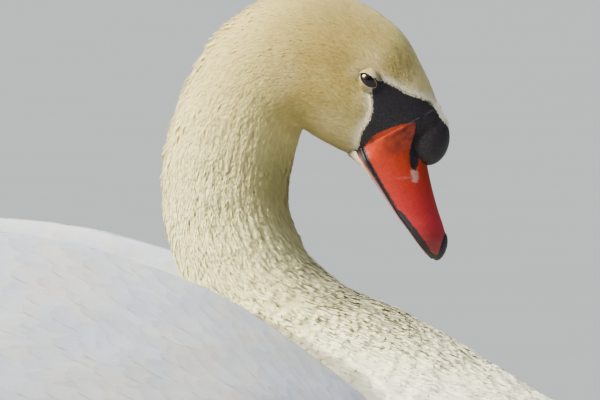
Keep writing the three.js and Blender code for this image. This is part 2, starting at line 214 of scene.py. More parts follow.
def catmull(rows: Array, place: Array) -> Array:
    """Smooth values between rows of numbers.

    Args:
        rows: one row of numbers per section.
        place: where to read, counting sections.

    Returns:
        The rows' values at each place, with one more axis than `place`.
    """
    place = np.asarray(place, dtype=float)
    last = len(rows) - 1
    i = np.clip(np.floor(place).astype(int), 0, last - 1)
    t = (place - i)[..., None]
    a, b, c, d = (rows[np.clip(i + k, 0, last)] for k in (-1, 0, 1, 2))
    return b + 0.5 * t * (c - a + t * (2 * a - 5 * b + 4 * c - d + t * (3 * (b - c) + d - a)))


def smoothstep(x: Array, low: float, high: float) -> Array:
    """Rises smoothly from 0 at low to 1 at high."""
    t = np.clip((np.asarray(x, dtype=float) - low) / (high - low), 0, 1)
    return t * t * (3 - 2 * t)


def mix(a: Array, b: Array, t: Array) -> Array:
    """Goes from a to b as t goes from 0 to 1."""
    return a + (b - a) * t


def power(value: Array, exponent: Array) -> Array:
    """Raises a sine or cosine to a power and keeps its sign."""
    return np.sign(value) * np.abs(value) ** exponent


def bell(x: Array, width: float) -> Array:
    """A bell curve: e to the power of minus the square of x / width."""
    return np.exp(-((x / width) ** 2))


def unit(vectors: Array) -> Array:
    """Scales vectors to a length of 1."""
    return vectors / np.maximum(np.linalg.norm(vectors, axis=-1, keepdims=True), 1e-9)


def turns(columns: int) -> Array:
    """Angles of even steps once round."""
    return np.arange(columns) * 2 * math.pi / columns


def rings(levels: Array, columns: int) -> tuple[Array, Array]:
    """Gives the level and the angle of each point of a sleeve, by ring and column."""
    return np.meshgrid(levels, turns(columns), indexing="ij")


def between(place: Array, stops: Array, rows: Array) -> Array:
    """Reads rows of numbers at places between their stops, in straight lines from one to the next."""
    return np.stack([np.interp(place, stops, column) for column in np.asarray(rows).T], -1)


def round_end(beyond: Array, over: float) -> Array:
    """Shrinks a tube's radius to a round end: the height of a quarter circle, where `beyond` runs from 0 to `over`."""
    return np.sqrt(1 - np.clip(beyond / over, 0, 0.98) ** 2)


def srgb(r: float, g: float, b: float) -> Array:
    """Gives the linear colour of an 8-bit display colour."""
    c = np.array([r, g, b]) / 255
    return np.where(c <= 0.04045, c / 12.92, ((c + 0.055) / 1.055) ** 2.4)


def wobble(points: Array, size: float, seed: int) -> Array:
    """Smooth noise: a sum of plane waves in random directions.

    Args:
        points: positions in millimetres, last axis 3.
        size: the length of one wobble in millimetres.
        seed: which noise.

    Returns:
        Values of about -1 to 1, one for each point.
    """
    rng = np.random.default_rng(seed)
    total = np.zeros(points.shape[:-1])
    for _ in range(9):
        axis = rng.normal(size=3)
        axis *= 2 * math.pi * rng.uniform(0.6, 1.5) / (size * np.linalg.norm(axis))
        total += np.sin(points @ axis + rng.uniform(0, 6.28))
    return np.clip(total / 3.4, -1, 1)


def turned(points: Array, share: Array | float = 1.0) -> Array:
    """Turns points in millimetres about the upright axis of the nape, as the head turns.

    Args:
        points: positions, last axis 3.
        share: how much of the head's turn each point takes.

    Returns:
        The turned positions.
    """
    angle = HEAD_TURN * np.asarray(share)
    x, y = points[..., 0] - HEAD_AXIS, points[..., 1]
    c, s = np.cos(angle), np.sin(angle)
    return np.stack([x * c - y * s + HEAD_AXIS, x * s + y * c, points[..., 2]], -1)


def unturned(points: Array) -> Array:
    """Gives points of the head as if it looked straight ahead."""
    return turned(points, -1.0)


def seen(points: Array) -> tuple[Array, Array]:
    """Gives forward and height of the head's points as its side is seen, from a little ahead and above.

    What stands out to the side appears further back and lower, on both sides alike.

    Args:
        points: positions in millimetres.

    Returns:
        The two coordinates.
    """
    straight = unturned(points)
    stands_out = np.abs(straight[..., 1])
    return straight[..., 0] - SEEN_BACK * stands_out, straight[..., 2] - SEEN_DOWN * stands_out


def outline_distance(outline: Array, x: Array, z: Array) -> Array:
    """Distance to a closed outline, positive inside it.

    It is the least distance to any edge. A point is inside if a ray from it crosses an odd number of edges.

    Args:
        outline: corners in order.
        x: first coordinates of the points.
        z: second coordinates of the points.

    Returns:
        One signed distance for each point.
    """
    best = np.full(np.shape(x), 1e9)
    inside = np.zeros(np.shape(x), dtype=bool)
    for (ax, az), (bx, bz) in zip(outline, np.roll(outline, -1, axis=0)):
        run, rise = bx - ax, bz - az
        t = np.clip(((x - ax) * run + (z - az) * rise) / (run**2 + rise**2), 0, 1)
        best = np.minimum(best, np.hypot(x - ax - t * run, z - az - t * rise))
        if rise:
            inside ^= ((az > z) != (bz > z)) & (x < run * (z - az) / rise + ax)
    return np.where(inside, best, -best)


def spots(x: Array, z: Array, table: tuple[tuple[float, float, float, float], ...]) -> Array:
    """Adds up soft round spots, each its depth times e to the power of minus (distance / size) squared."""
    return sum(
        depth * np.exp(-(((x - at_x) ** 2 + (z - at_z) ** 2) / size**2)) for at_x, at_z, size, depth in table
    )


def frontness(place: Array, x: Array) -> Array:
    """How far forward positions lie from the body's back line, at 0, towards its front line, at 1.

    Args:
        place: where along the body, counting sections.
        x: forward positions.

    Returns:
        One share for each position.
    """
    sections = np.arange(LAST + 1)
    back, front = np.interp(place, sections, BODY[:, 0]), np.interp(place, sections, BODY[:, 2])
    return (x - back) / np.maximum(front - back, 1)


def grid_faces(rows: int, columns: int, wrap: bool) -> Array:
    """Quads over a grid of points numbered row by row.

    Args:
        rows: number of rows.
        columns: number of columns.
        wrap: whether the last column joins the first.

    Returns:
        Four point numbers for each quad.
    """
    r = np.arange(rows - 1)[:, None] * columns
    c = np.arange(columns if wrap else columns - 1)[None, :]
    d = (c + 1) % columns
    corners = np.broadcast_arrays(r + c, r + d, r + columns + d, r + columns + c)
    return np.stack(corners, -1).reshape(-1, 4)


def end_caps(rows: int, columns: int) -> Array:
    """Triangles that close both ends of a sleeve, whose two end points follow its own points.

    Args:
        rows: number of rings.
        columns: points round each.

    Returns:
        Three point numbers for each triangle.
    """
    c = np.arange(columns)
    d = (c + 1) % columns
    count, last = rows * columns, (rows - 1) * columns
    first_cap = np.stack([np.full(columns, count), d, c], -1)
    last_cap = np.stack([np.full(columns, count + 1), last + c, last + d], -1)
    return np.concatenate([first_cap, last_cap])


def with_ends(sleeve: Array) -> Array:
    """Lists a sleeve's points, then the middles of its first and last rings."""
    return np.concatenate([sleeve.reshape(-1, 3), [sleeve[0].mean(0), sleeve[-1].mean(0)]])


def make_mesh(name: str, points: Array, quads: Array, triangles: Array | None = None) -> Object:
    """Makes an object from arrays, shaded smooth.

    Args:
        name: the object's name.
        points: positions in millimetres.
        quads: four point numbers for each quad.
        triangles: three point numbers for each triangle.

    Returns:
        The object, linked to the scene.
    """
    triangles = np.zeros((0, 3), dtype=int) if triangles is None else triangles
    corners = np.concatenate([quads.ravel(), triangles.ravel()]).astype(np.int32)
    starts = np.concatenate([np.arange(len(quads)) * 4, len(quads) * 4 + np.arange(len(triangles)) * 3])
    mesh = bpy.data.meshes.new(name)
    mesh.vertices.add(len(points))
    mesh.vertices.foreach_set("co", (np.asarray(points) * MM).astype(np.float32).ravel())
    mesh.loops.add(len(corners))
    mesh.loops.foreach_set("vertex_index", corners)
    mesh.polygons.add(len(starts))
    mesh.polygons.foreach_set("loop_start", starts.astype(np.int32))
    mesh.update(calc_edges=True)
    mesh.polygons.foreach_set("use_smooth", np.ones(len(starts), dtype=bool))
    obj = bpy.data.objects.new(name, mesh)
    bpy.context.scene.collection.objects.link(obj)
    log.info("%s: %d points, %d faces", name, len(points), len(starts))
    return obj


def closed_mesh(name: str, sleeve: Array) -> tuple[Object, Array]:
    """Makes an object of one sleeve, closed at both ends.

    Args:
        name: the object's name.
        sleeve: points by ring and column.

    Returns:
        The object and its points.
    """
    points = with_ends(sleeve)
    rows, columns = sleeve.shape[:2]
    return make_mesh(name, points, grid_faces(rows, columns, True), end_caps(rows, columns)), points


def join_sleeves(name: str, sleeves: list[Array], maps: list[Array]) -> tuple[Object, Array]:
    """Makes one object of several sleeves, each closed at both ends, with their faces outwards.

    Args:
        name: the object's name.
        sleeves: points by ring and column.
        maps: UVs of each sleeve's points and ends.

    Returns:
        The object and all its points.
    """
    points, quads, caps, start = [], [], [], 0
    for sleeve in sleeves:
        rows, columns = sleeve.shape[:2]
        flip = slice(None, None, -1 if Surface(sleeve).mirrored else 1)
        points.append(with_ends(sleeve))
        quads.append(grid_faces(rows, columns, True)[:, flip] + start)
        caps.append(end_caps(rows, columns)[:, flip] + start)
        start += len(points[-1])
    everything = np.concatenate(points)
    obj = make_mesh(name, everything, np.concatenate(quads), np.concatenate(caps))
    unwrap(obj, "OFBake", np.clip(np.concatenate(maps), 0.001, 0.999))
    return obj, everything


def sleeve_map(along: Array, columns: int, tile: tuple[float, float, float, float]) -> Array:
    """UVs of a sleeve's points and its two ends.

    Args:
        along: each ring's place across the tile, from 0 to 1.
        columns: points round each ring, which run up the tile.
        tile: its left, bottom, width and height.

    Returns:
        Two numbers for each point.
    """
    u = np.concatenate([np.repeat(along, columns), [along[0], along[-1]]])
    v = np.concatenate([np.tile(np.arange(columns) / columns, len(along)), [0, 0]])
    return np.stack([tile[0] + u * tile[2], tile[1] + v * tile[3]], -1)


def paint(obj: Object, name: str, values: Array) -> None:
    """Stores a colour or a number for each point of a mesh.

    Args:
        obj: the mesh object.
        name: the attribute's name.
        values: one number, or three, for each point.
    """
    values = np.asarray(values, dtype=np.float32)
    if values.ndim == 1:
        obj.data.attributes.new(name, "FLOAT", "POINT").data.foreach_set("value", values)
        return
    rgba = np.concatenate([values, np.ones((len(values), 1), dtype=np.float32)], 1)
    obj.data.attributes.new(name, "FLOAT_COLOR", "POINT").data.foreach_set("color", rgba.ravel())


def unwrap(obj: Object, name: str, uv: Array) -> None:
    """Stores a UV map from one UV for each point.

    Args:
        obj: the mesh object.
        name: the map's name.
        uv: two numbers for each point.
    """
    corners = np.empty(len(obj.data.loops), dtype=np.int32)
    obj.data.loops.foreach_get("vertex_index", corners)
    layer = obj.data.uv_layers.new(name=name)
    layer.uv.foreach_set("vector", uv[corners].astype(np.float32).ravel())


def dress(obj: Object, slot: str, material: Material, *replaced: str) -> Object:
    """Gives a piece its material and its place in the model.

    Args:
        obj: the piece.
        slot: the record's material slot; not used.
        material: what it is made of.
        replaced: the nodes that it stands for.

    Returns:
        The piece.
    """
    obj.data.materials.append(material)
    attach(obj, "root")
    if replaced:
        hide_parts(*replaced)
    return obj


# ---------------------------------------------------------------- surfaces


@dataclass
class Surface:
    """A sleeve of points, sampled on a grid: rows along it and columns round it, closed round."""

    points: Array
    reach: float = 0.009
    slopes: tuple[Array, Array] = field(init=False)
    normals: Array = field(init=False)
    mirrored: bool = field(init=False)

    def __post_init__(self) -> None:
        """Works out the slopes of the grid and its outward normals, the cross products of the slopes."""
        rows, columns = self.points.shape[:2]
        along = np.gradient(self.points, axis=0) * (rows - 1)
        around = (np.roll(self.points, -1, 1) - np.roll(self.points, 1, 1)) * columns / 2
        normals = np.cross(around, along)
        normals[0], normals[-1] = normals[1], normals[-2]
        normals = unit(normals)
        outwards = normals * (self.points - self.points.mean(axis=1, keepdims=True))
        self.mirrored = bool(outwards.sum() < 0)
        self.normals = -normals if self.mirrored else normals
        self.slopes = (along, around)

    def read(self, grid: Array, along: Array, around: Array) -> Array:
        """Reads a grid of values between its points.

        Args:
            grid: values at the sleeve's points.
            along: 0 at the first row, 1 at the last.
            around: 0 to 1 once round.

        Returns:
            The values at each place.
        """
        rows, columns = self.points.shape[:2]
        r = np.clip(along, 0, 1) * (rows - 1)
        c = np.mod(around, 1) * columns
        r0 = np.clip(np.floor(r).astype(int), 0, rows - 2)
        c0 = np.floor(c).astype(int) % columns
        c1 = (c0 + 1) % columns
        fr, fc = (r - r0)[..., None], (c - np.floor(c))[..., None]
        first, second = (mix(grid[row, c0], grid[row, c1], fc) for row in (r0, r0 + 1))
        return mix(first, second, fr)

    def at(self, along: Array, around: Array, lift: Array | float = 0.0) -> Array:
        """Gives points on the sleeve, or lifted off it along its normals.

        Args:
            along: 0 at the first row, 1 at the last.
            around: 0 to 1 once round.
            lift: how far off the sleeve, in millimetres.

        Returns:
            Positions in millimetres.
        """
        lift = np.asarray(lift)[..., None] if np.ndim(lift) else lift
        return self.read(self.points, along, around) + self.read(self.normals, along, around) * lift

    def step(self, along: Array, around: Array, ahead: Array, aside: Array) -> tuple[Array, Array]:
        """Moves places over the sleeve by distances, at most `reach` along it.

        Args:
            along: where each place is along the sleeve.
            around: where each place is round it.
            ahead: how far to move along, in millimetres.
            aside: how far to move round, in millimetres.

        Returns:
            The new along and around.
        """
        run = np.linalg.norm(self.read(self.slopes[0], along, around), axis=-1)
        girth = np.linalg.norm(self.read(self.slopes[1], along, around), axis=-1)
        forward = np.clip(ahead / np.maximum(run, 1), -self.reach, self.reach)
        return along + forward, around + np.clip(aside / np.maximum(girth, 1), -0.08, 0.08)


@dataclass(frozen=True)
class BodyForm:
    """The body's outer form, to the tips of the feathers."""

    plain: float = 0.95
    belly: float = 0.82
    wide_from: float = 60
    wide_to: float = 150
    turn_from: float = 19

    def outer(self, place: Array, angle: Array) -> Array:
        """Gives points of the outer form.

        Args:
            place: where along the body, counting sections.
            angle: 0 on the back or crown, pi on the belly or throat.

        Returns:
            Positions in millimetres.
        """
        back_x, back_z, front_x, front_z, half = np.moveaxis(catmull(BODY, place), -1, 0)
        wide = smoothstep(half, self.wide_from, self.wide_to)
        square = self.plain + np.where(np.cos(angle) < 0, wide * (self.belly - self.plain), 0)
        up, out = power(np.cos(angle), square), half * power(np.sin(angle), square)
        x = (back_x + front_x) / 2 + up * (back_x - front_x) / 2
        z = (back_z + front_z) / 2 + up * (back_z - front_z) / 2
        return turned(np.stack([x, out, np.maximum(z, 0)], -1), smoothstep(place, self.turn_from, NAPE))

    def depth(self, place: Array, points: Array) -> Array:
        """How deep the skin lies under the tips of the coat, in millimetres.

        Almost nothing on the bare lore, and a little more in the socket of the eye.

        Args:
            place: where along the body, counting sections.
            points: positions on the outer form.

        Returns:
            One depth for each point.
        """
        coat = np.interp(place, [0, 1, 4, 12, 16, 19, 21, 23, 25, 29], [0.5, 3, 7, 7, 6.4, 5.4, 4.4, 3.2, 2.3, 1.6])
        x, z = seen(points)
        bare = smoothstep(outline_distance(LORE, x, z), -2.5, 0.8) * (place > FACE)
        socket = np.exp(-(((x - EYE_SEEN[0]) ** 2 + (z - EYE_SEEN[1]) ** 2) / 42)) * (np.abs(points[..., 1]) > 12)
        return coat * (1 - bare) + 0.25 * bare + 1.3 * socket

    def skin(self, rows: Array, columns: int) -> Surface:
        """Makes the skin as a sleeve inside the outer form.

        Args:
            rows: the places of the sleeve's rows.
            columns: how many points go round.

        Returns:
            The sleeve.
        """
        place, angle = rings(rows, columns)
        outer = Surface(self.outer(place, angle))
        return Surface(outer.points - outer.normals * self.depth(place, outer.points)[..., None])


# ---------------------------------------------------------------- finishes


@dataclass
class Shader:
    """A material being built from nodes."""

    name: str
    material: Material = field(init=False)

    def __post_init__(self) -> None:
        """Makes the material with only its surface shader."""
        self.material = bpy.data.materials.new(self.name)
        self.material.use_nodes = True
        self.surface = self.material.node_tree.nodes["Principled BSDF"]

    def node(self, kind: str, **settings: object) -> bpy.types.Node:
        """Adds a node.

        Args:
            kind: the node's type, without its ShaderNode prefix.
            settings: properties by name.

        Returns:
            The node.
        """
        made = self.material.node_tree.nodes.new("ShaderNode" + kind)
        for key, value in settings.items():
            setattr(made, key, value)
        return made

    def link(self, source: Socket, target: Socket) -> None:
        """Joins two sockets."""
        self.material.node_tree.links.new(source, target)

    def set(self, **values: object) -> "Shader":
        """Sets constant values of the surface shader, with _ for the spaces of their names."""
        for key, value in values.items():
            self.surface.inputs[key.replace("_", " ")].default_value = value
        return self

    def attribute(self, name: str) -> bpy.types.Node:
        """Reads a stored attribute."""
        return self.node("Attribute", attribute_name=name)

    def over_uv(self, name: str) -> Socket:
        """Reads a UV map."""
        return self.node("UVMap", uv_map=name).outputs[0]

    def noise(
        self, scale: float, detail: float = 3.0, stretch: Triple | None = None, uv: str | None = None
    ) -> Socket:
        """Adds noise over the object's own coordinates, or over a UV map.

        Args:
            scale: how many wobbles to a metre, or to the map's width.
            detail: how many finer layers.
            stretch: scale factors for each axis.
            uv: the map's name.

        Returns:
            The noise's value socket.
        """
        where = self.over_uv(uv) if uv else self.node("TexCoord").outputs["Object"]
        if stretch:
            mapping = self.node("Mapping")
            mapping.inputs["Scale"].default_value = stretch
            self.link(where, mapping.inputs["Vector"])
            where = mapping.outputs[0]
        noise = self.node("TexNoise")
        noise.inputs["Scale"].default_value = scale
        noise.inputs["Detail"].default_value = detail
        self.link(where, noise.inputs["Vector"])
        return noise.outputs[0]

    def cells(self, scale: float, feature: str = "F1") -> Socket:
        """Adds a pattern of cells over the object's own coordinates.

        Args:
            scale: how many cells to a metre.
            feature: which distance is read, such as to the middle or to the edge of a cell.

        Returns:
            The distance's socket.
        """
        cells = self.node("TexVoronoi", feature=feature)
        cells.inputs["Scale"].default_value = scale
        self.link(self.node("TexCoord").outputs["Object"], cells.inputs["Vector"])
        return cells.outputs["Distance"]

    def ramp(self, value: Socket, low: float, high: float, to_low: float = 0.0, to_high: float = 1.0) -> Socket:
        """Maps a value from one range to another, held at its ends.

        Args:
            value: the socket to read.
            low: the value that gives to_low.
            high: the value that gives to_high.
            to_low: the result at low.
            to_high: the result at high.

        Returns:
            The result's socket.
        """
        node = self.node("MapRange")
        for key, number in zip(("From Min", "From Max", "To Min", "To Max"), (low, high, to_low, to_high)):
            node.inputs[key].default_value = number
        self.link(value, node.inputs["Value"])
        return node.outputs[0]

    def math(self, operation: str, a: Socket, b: Socket | float) -> Socket:
        """Combines two numbers.

        Args:
            operation: how, such as ADD or MULTIPLY.
            a: the first number's socket.
            b: the second number, or its socket.

        Returns:
            The result's socket.
        """
        node = self.node("Math", operation=operation)
        self.link(a, node.inputs[0])
        if isinstance(b, Socket):
            self.link(b, node.inputs[1])
        else:
            node.inputs[1].default_value = b
        return node.outputs[0]

    def colour(self, a: Array | Socket, b: Array | Socket, factor: Socket) -> Socket:
        """Mixes two colours.

        Args:
            a: a colour or its socket.
            b: the colour or socket that factor 1 gives.
            factor: how far to go to b.

        Returns:
            The mixed colour's socket.
        """
        node = self.node("Mix", data_type="RGBA")
        self.link(factor, node.inputs[0])
        for value, socket in ((a, node.inputs[6]), (b, node.inputs[7])):
            if isinstance(value, Socket):
                self.link(value, socket)
            else:
                socket.default_value = (*value, 1.0)
        return node.outputs[2]

    def shade(self, colour: Socket, value: Socket) -> Socket:
        """Makes a colour darker or lighter by a number.

        Args:
            colour: the colour's socket.
            value: what to multiply it by.

        Returns:
            The shaded colour's socket.
        """
        node = self.node("VectorMath", operation="SCALE")
        self.link(colour, node.inputs[0])
        self.link(value, node.inputs["Scale"])
        return node.outputs[0]

    def coloured(self, colour: Socket) -> "Shader":
        """Gives the surface its colour."""
        self.link(colour, self.surface.inputs["Base Color"])
        return self

    def bump(self, height: Socket, distance: float, strength: float = 1.0) -> "Shader":
        """Gives the surface a relief.

        Args:
            height: the relief's socket.
            distance: the height of a value of 1, in metres.
            strength: how much of it shows.

        Returns:
            The shader itself.
        """
        node = self.node("Bump")
        node.inputs["Distance"].default_value = distance
        node.inputs["Strength"].default_value = strength
        self.link(height, node.inputs["Height"])
        self.link(node.outputs[0], self.surface.inputs["Normal"])
        return self


@dataclass(frozen=True)
class PlumageFinish:
    """Soft matt feathers whose colour is stored on the mesh, with fine barbs across each vane."""

    name: str
    mottle: float = 0.08
    barb_scale: float = 14.0
    shaft: float = 0.0

    def build(self) -> Material:
        """Builds the material."""
        s = Shader(self.name).set(Roughness=0.85, Sheen_Weight=0.15, Sheen_Roughness=0.5, Specular_IOR_Level=0.2)
        spots = s.ramp(s.noise(240.0), 0.3, 0.7, 1 - self.mottle, 1 + self.mottle * 0.4)
        colour = s.shade(s.attribute("tint").outputs["Color"], spots)
        lines = s.noise(self.barb_scale, 2.0, stretch=(3.0, 0.35, 1.0), uv="Vane")
        if self.shaft:
            across = s.node("SeparateXYZ")
            s.link(s.over_uv("Vane"), across.inputs[0])
            off = s.math("ABSOLUTE", s.math("SUBTRACT", across.outputs[0], 0.5), 0.0)
            shaft = s.ramp(off, 0.02, 0.045, 1.0, 0.0)
            colour = s.shade(colour, s.ramp(shaft, 0, 1, 1.0, 1 - self.shaft))
            lines = s.math("ADD", lines, s.math("MULTIPLY", shaft, 2.0))
        return s.coloured(colour).bump(lines, 0.0002, 0.6).material


@dataclass(frozen=True)
class HornFinish:
    """The bill's waxy sheath and the bare black skin beside it, or the feathered skin under the coat.

    The mesh stores the sheath's colour and the signed distances to the outlines of the black and of the feathered
    skin, which the shader makes ragged.
    """

    name: str
    feathered: bool = False

    def build(self) -> Material:
        """Builds the material."""
        s = Shader(self.name).set(Specular_IOR_Level=0.4)
        ragged = s.ramp(s.noise(700.0), 0.3, 0.7, -0.35, 0.35)
        blotch = s.ramp(s.noise(170.0, 4.0), 0.45, 0.66)
        fine = s.ramp(s.noise(520.0, 4.0), 0.3, 0.75, 0.82, 1.08)
        horn = s.shade(s.attribute("horn").outputs["Color"], fine)
        brown = s.math("MULTIPLY", blotch, s.attribute("blotchy").outputs["Fac"])
        horn = s.colour(horn, srgb(98, 24, 8), brown)
        specks = s.ramp(s.noise(1500.0, 2.0), 0.5, 0.8)
        black = s.colour(srgb(26, 21, 26), srgb(62, 56, 64), specks)
        dark = s.ramp(s.math("ADD", s.attribute("dark").outputs["Fac"], ragged), -0.18, 0.18)
        colour = s.colour(horn, black, dark)
        pebbles = s.math("MULTIPLY", s.cells(1150.0), dark)
        grain = s.math("ADD", pebbles, s.math("MULTIPLY", s.noise(420.0, 4.0), 0.35))
        rough = s.ramp(dark, 0, 1, 0.36, 0.52)
        if self.feathered:
            edge = s.math("ADD", s.attribute("bare").outputs["Fac"], s.math("MULTIPLY", ragged, 1.6))
            bare = s.ramp(edge, -0.15, 0.15)
            colour = s.colour(s.attribute("tint").outputs["Color"], colour, bare)
            rough = s.math("MAXIMUM", rough, s.ramp(bare, 0, 1, 0.9, 0.3))
        s.link(rough, s.surface.inputs["Roughness"])
        return s.coloured(colour).bump(grain, -0.00022, 0.8).material


@dataclass(frozen=True)
class PaintedFinish:
    """A surface whose colour is stored on the mesh, with a fine relief."""

    name: str
    roughness: float
    relief: float = 0.0002
    scale: float = 600.0
    coat: float = 0.0
    mottle: float = 0.12

    def build(self) -> Material:
        """Builds the material."""
        s = Shader(self.name).set(Roughness=self.roughness, Coat_Weight=self.coat, Coat_Roughness=0.03)
        cloud = s.noise(self.scale)
        mottled = s.ramp(cloud, 0.3, 0.7, 1 - self.mottle, 1 + self.mottle)
        colour = s.shade(s.attribute("tint").outputs["Color"], mottled)
        return s.coloured(colour).bump(cloud, self.relief, 0.8).material


@dataclass(frozen=True)
class PlainFinish:
    """Two mottled colours and a fine relief, for parts that store no colour."""

    name: str
    colour: Triple
    other: Triple
    roughness: float
    scale: float
    relief: float
    scaly: bool = False

    def build(self) -> Material:
        """Builds the material."""
        s = Shader(self.name).set(Roughness=self.roughness)
        cloud = s.noise(self.scale, 4.0)
        colour = s.colour(srgb(*self.colour), srgb(*self.other), s.ramp(cloud, 0.35, 0.65))
        relief = s.ramp(s.cells(self.scale, "DISTANCE_TO_EDGE"), 0.0, 0.12) if self.scaly else cloud
        return s.coloured(colour).bump(relief, self.relief, 0.8).material


# ---------------------------------------------------------------- the coat


def coat_colour(place: Array, points: Array) -> Array:
    """The coat's colour at its surface, the same for skin and feathers.

    White turns to cream up the neck, and the head is stained with soft ochre spots and paler ones, with dull spots of
    painted shade. The throat side of the neck is painted greyer and darker as shade, the fold behind the wing's crest
    carries a painted shadow, and a pale fringe runs round the lore.

    Args:
        place: where along the body, counting sections.
        points: positions in millimetres.

    Returns:
        Linear colours.
    """
    shades = [
        srgb(248, 247, 242), srgb(248, 247, 240), srgb(251, 247, 228), srgb(252, 245, 206), srgb(254, 243, 186),
        srgb(254, 243, 176), srgb(244, 231, 162), srgb(226, 209, 134), srgb(190, 171, 98), srgb(178, 161, 88),
        srgb(178, 164, 106),
    ]
    base = between(place, [0, 11, 14, 16, 18, 20, 22, 23.5, 25, 27, 29], shades)
    x, z = seen(points)
    head = smoothstep(place, 22.5, 24)
    stain, pale, dull_shade = (spots(x, z, table) for table in (OCHRE_SPOTS, PALE_SPOTS, DULL_SHADE_SPOTS))
    stain = np.clip(stain + 0.18 * wobble(points, 24, 3) + 0.22 * wobble(points, 8, 4), 0, 1) * head
    base = mix(base, srgb(172, 140, 66), (0.55 * stain)[..., None])
    # Painted shade: the dull spots darken the crown and the face.
    base = mix(base, srgb(222, 204, 148), np.clip(pale * head, 0, 0.6)[..., None]) * (1 - dull_shade * head)[..., None]
    olive = np.clip(0.5 * wobble(points, 14, 6) + 0.5 * wobble(points, 6, 7), 0, 1)
    olive *= np.interp(place, [14, 16.5, 20, 22.5], [0, 0.5, 0.5, 0.15])
    base = mix(base, srgb(186, 170, 112), (0.5 * olive)[..., None])
    # Painted shade: the throat side of the neck, turned away from the key light, is darkened, cool grey low down and
    # yellowish grey higher up.
    throat = smoothstep(frontness(place, points[..., 0]), 0.56, 0.88)
    throat *= np.interp(place, [16.5, 18.5, 22, 23.2], [0, 1, 1, 0])
    shade = mix(srgb(212, 217, 226), srgb(170, 170, 160), smoothstep(place, 20.2, 21.6)[..., None])
    base = mix(base, base * shade, (0.85 * throat)[..., None])
    # Painted shadow: the coat darkens in the fold behind the near wing's crest.
    base = base * (1 - 0.55 * wing_shade(place, points))[..., None]
    fringe = np.where(place > 24.5, bell(outline_distance(LORE, x, z), 2.6), 0)
    return mix(base, srgb(238, 232, 208), (0.55 * fringe)[..., None])


def crest_rise(x: Array) -> Array:
    """How far the feathers of the near wing's crest stand above it at a forward position."""
    return np.interp(x, CREST_RISE[::-1, 0], CREST_RISE[::-1, 1])


def wing_shade(place: Array, points: Array) -> Array:
    """How much painted shadow darkens the coat in the fold behind the wing's crest, from 0 to 1.

    The fold is narrow where it starts beside the neck and wider down the breast. Places are compared as they are
    seen past the crest, from a little above and ahead.

    Args:
        place: where along the body, counting sections.
        points: positions in millimetres.

    Returns:
        One number for each point.
    """
    crest = catmull(WING, np.linspace(1.5, 6, 60))[::-1]
    top = crest[:, 2] + (crest_rise(crest[:, 0]) - 3)
    out = np.abs(points[..., 1])
    seen_x = points[..., 0] - SEEN_AHEAD * out
    line = np.interp(seen_x, crest[:, 0] - SEEN_AHEAD * crest[:, 1], top - SEEN_DOWN * crest[:, 1])
    above = points[..., 2] - SEEN_DOWN * out - line + 0.9 * wobble(points, 6, 71)
    reach = np.interp(seen_x, [70, 100, 150], [1.5, 3.5, 9])
    fold = (1 - smoothstep(above, 0.55 * reach, 1.25 * reach)) * smoothstep(above, -16, -5)
    return fold * (1 - smoothstep(seen_x, 165, 195)) * ((place > 11) & (place < 18.5) & (seen_x > 60))


def horn_colour(x: Array, z: Array) -> Array:
    """The bill's colour, from orange at its root through red to pinkish red at its tip.

    Args:
        x: forward, with the head unturned.
        z: height.

    Returns:
        Linear colours.
    """
    down = 455 - z - 0.25 * (x - 160)
    shades = [srgb(158, 46, 8), srgb(184, 58, 12), srgb(182, 48, 26), srgb(166, 40, 40), srgb(154, 48, 52)]
    colour = between(down, [-5, 12, 30, 50, 72], shades)
    across = (x - 175) * 0.928 + (z - 412) * 0.371
    pink = smoothstep(across, -5, 8) * smoothstep(down, 24, 52)
    return mix(colour, srgb(160, 40, 56), (0.6 * pink)[..., None])


@dataclass(frozen=True)
class Coat:
    """How feathers are cut: points along and across each vane, its outline, and how far it arches and tilts."""

    stations: int
    columns: int
    profile: tuple[float, ...]
    camber: float = 0.0
    tilt: float = 0.0


@dataclass
class Laid:
    """Laid vanes: positions, the normals they are shaded with, and where on a surface each point lies."""

    points: Array
    normals: Array | None = None
    along: Array | None = None
    around: Array | None = None

    def swell(self, surface: Surface, height: Callable[[Array, Array, Array], Array], reach: float = 0.5) -> None:
        """Raises the vanes by a height given over the surface, and tips their normals down its slopes.

        Args:
            surface: what the vanes lie on.
            height: gives heights for positions and their along and around.
            reach: how far apart the heights are compared, in millimetres.
        """
        slopes = [surface.read(grid, self.along, self.around) for grid in surface.slopes]
        sizes = [np.maximum(np.linalg.norm(slope, axis=-1), 1.0) for slope in slopes]
        level = height(self.points, self.along, self.around)
        places = ((self.along + reach / sizes[0], self.around), (self.along, self.around + reach / sizes[1]))
        normals = self.normals.copy()
        for slope, size, (along, around) in zip(slopes, sizes, places):
            way = slope / size[..., None]
            rise = (height(self.points + way * reach, along, around) - level) / reach
            normals -= way * rise[..., None]
        self.points = self.points + self.normals * level[..., None]
        self.normals = normals


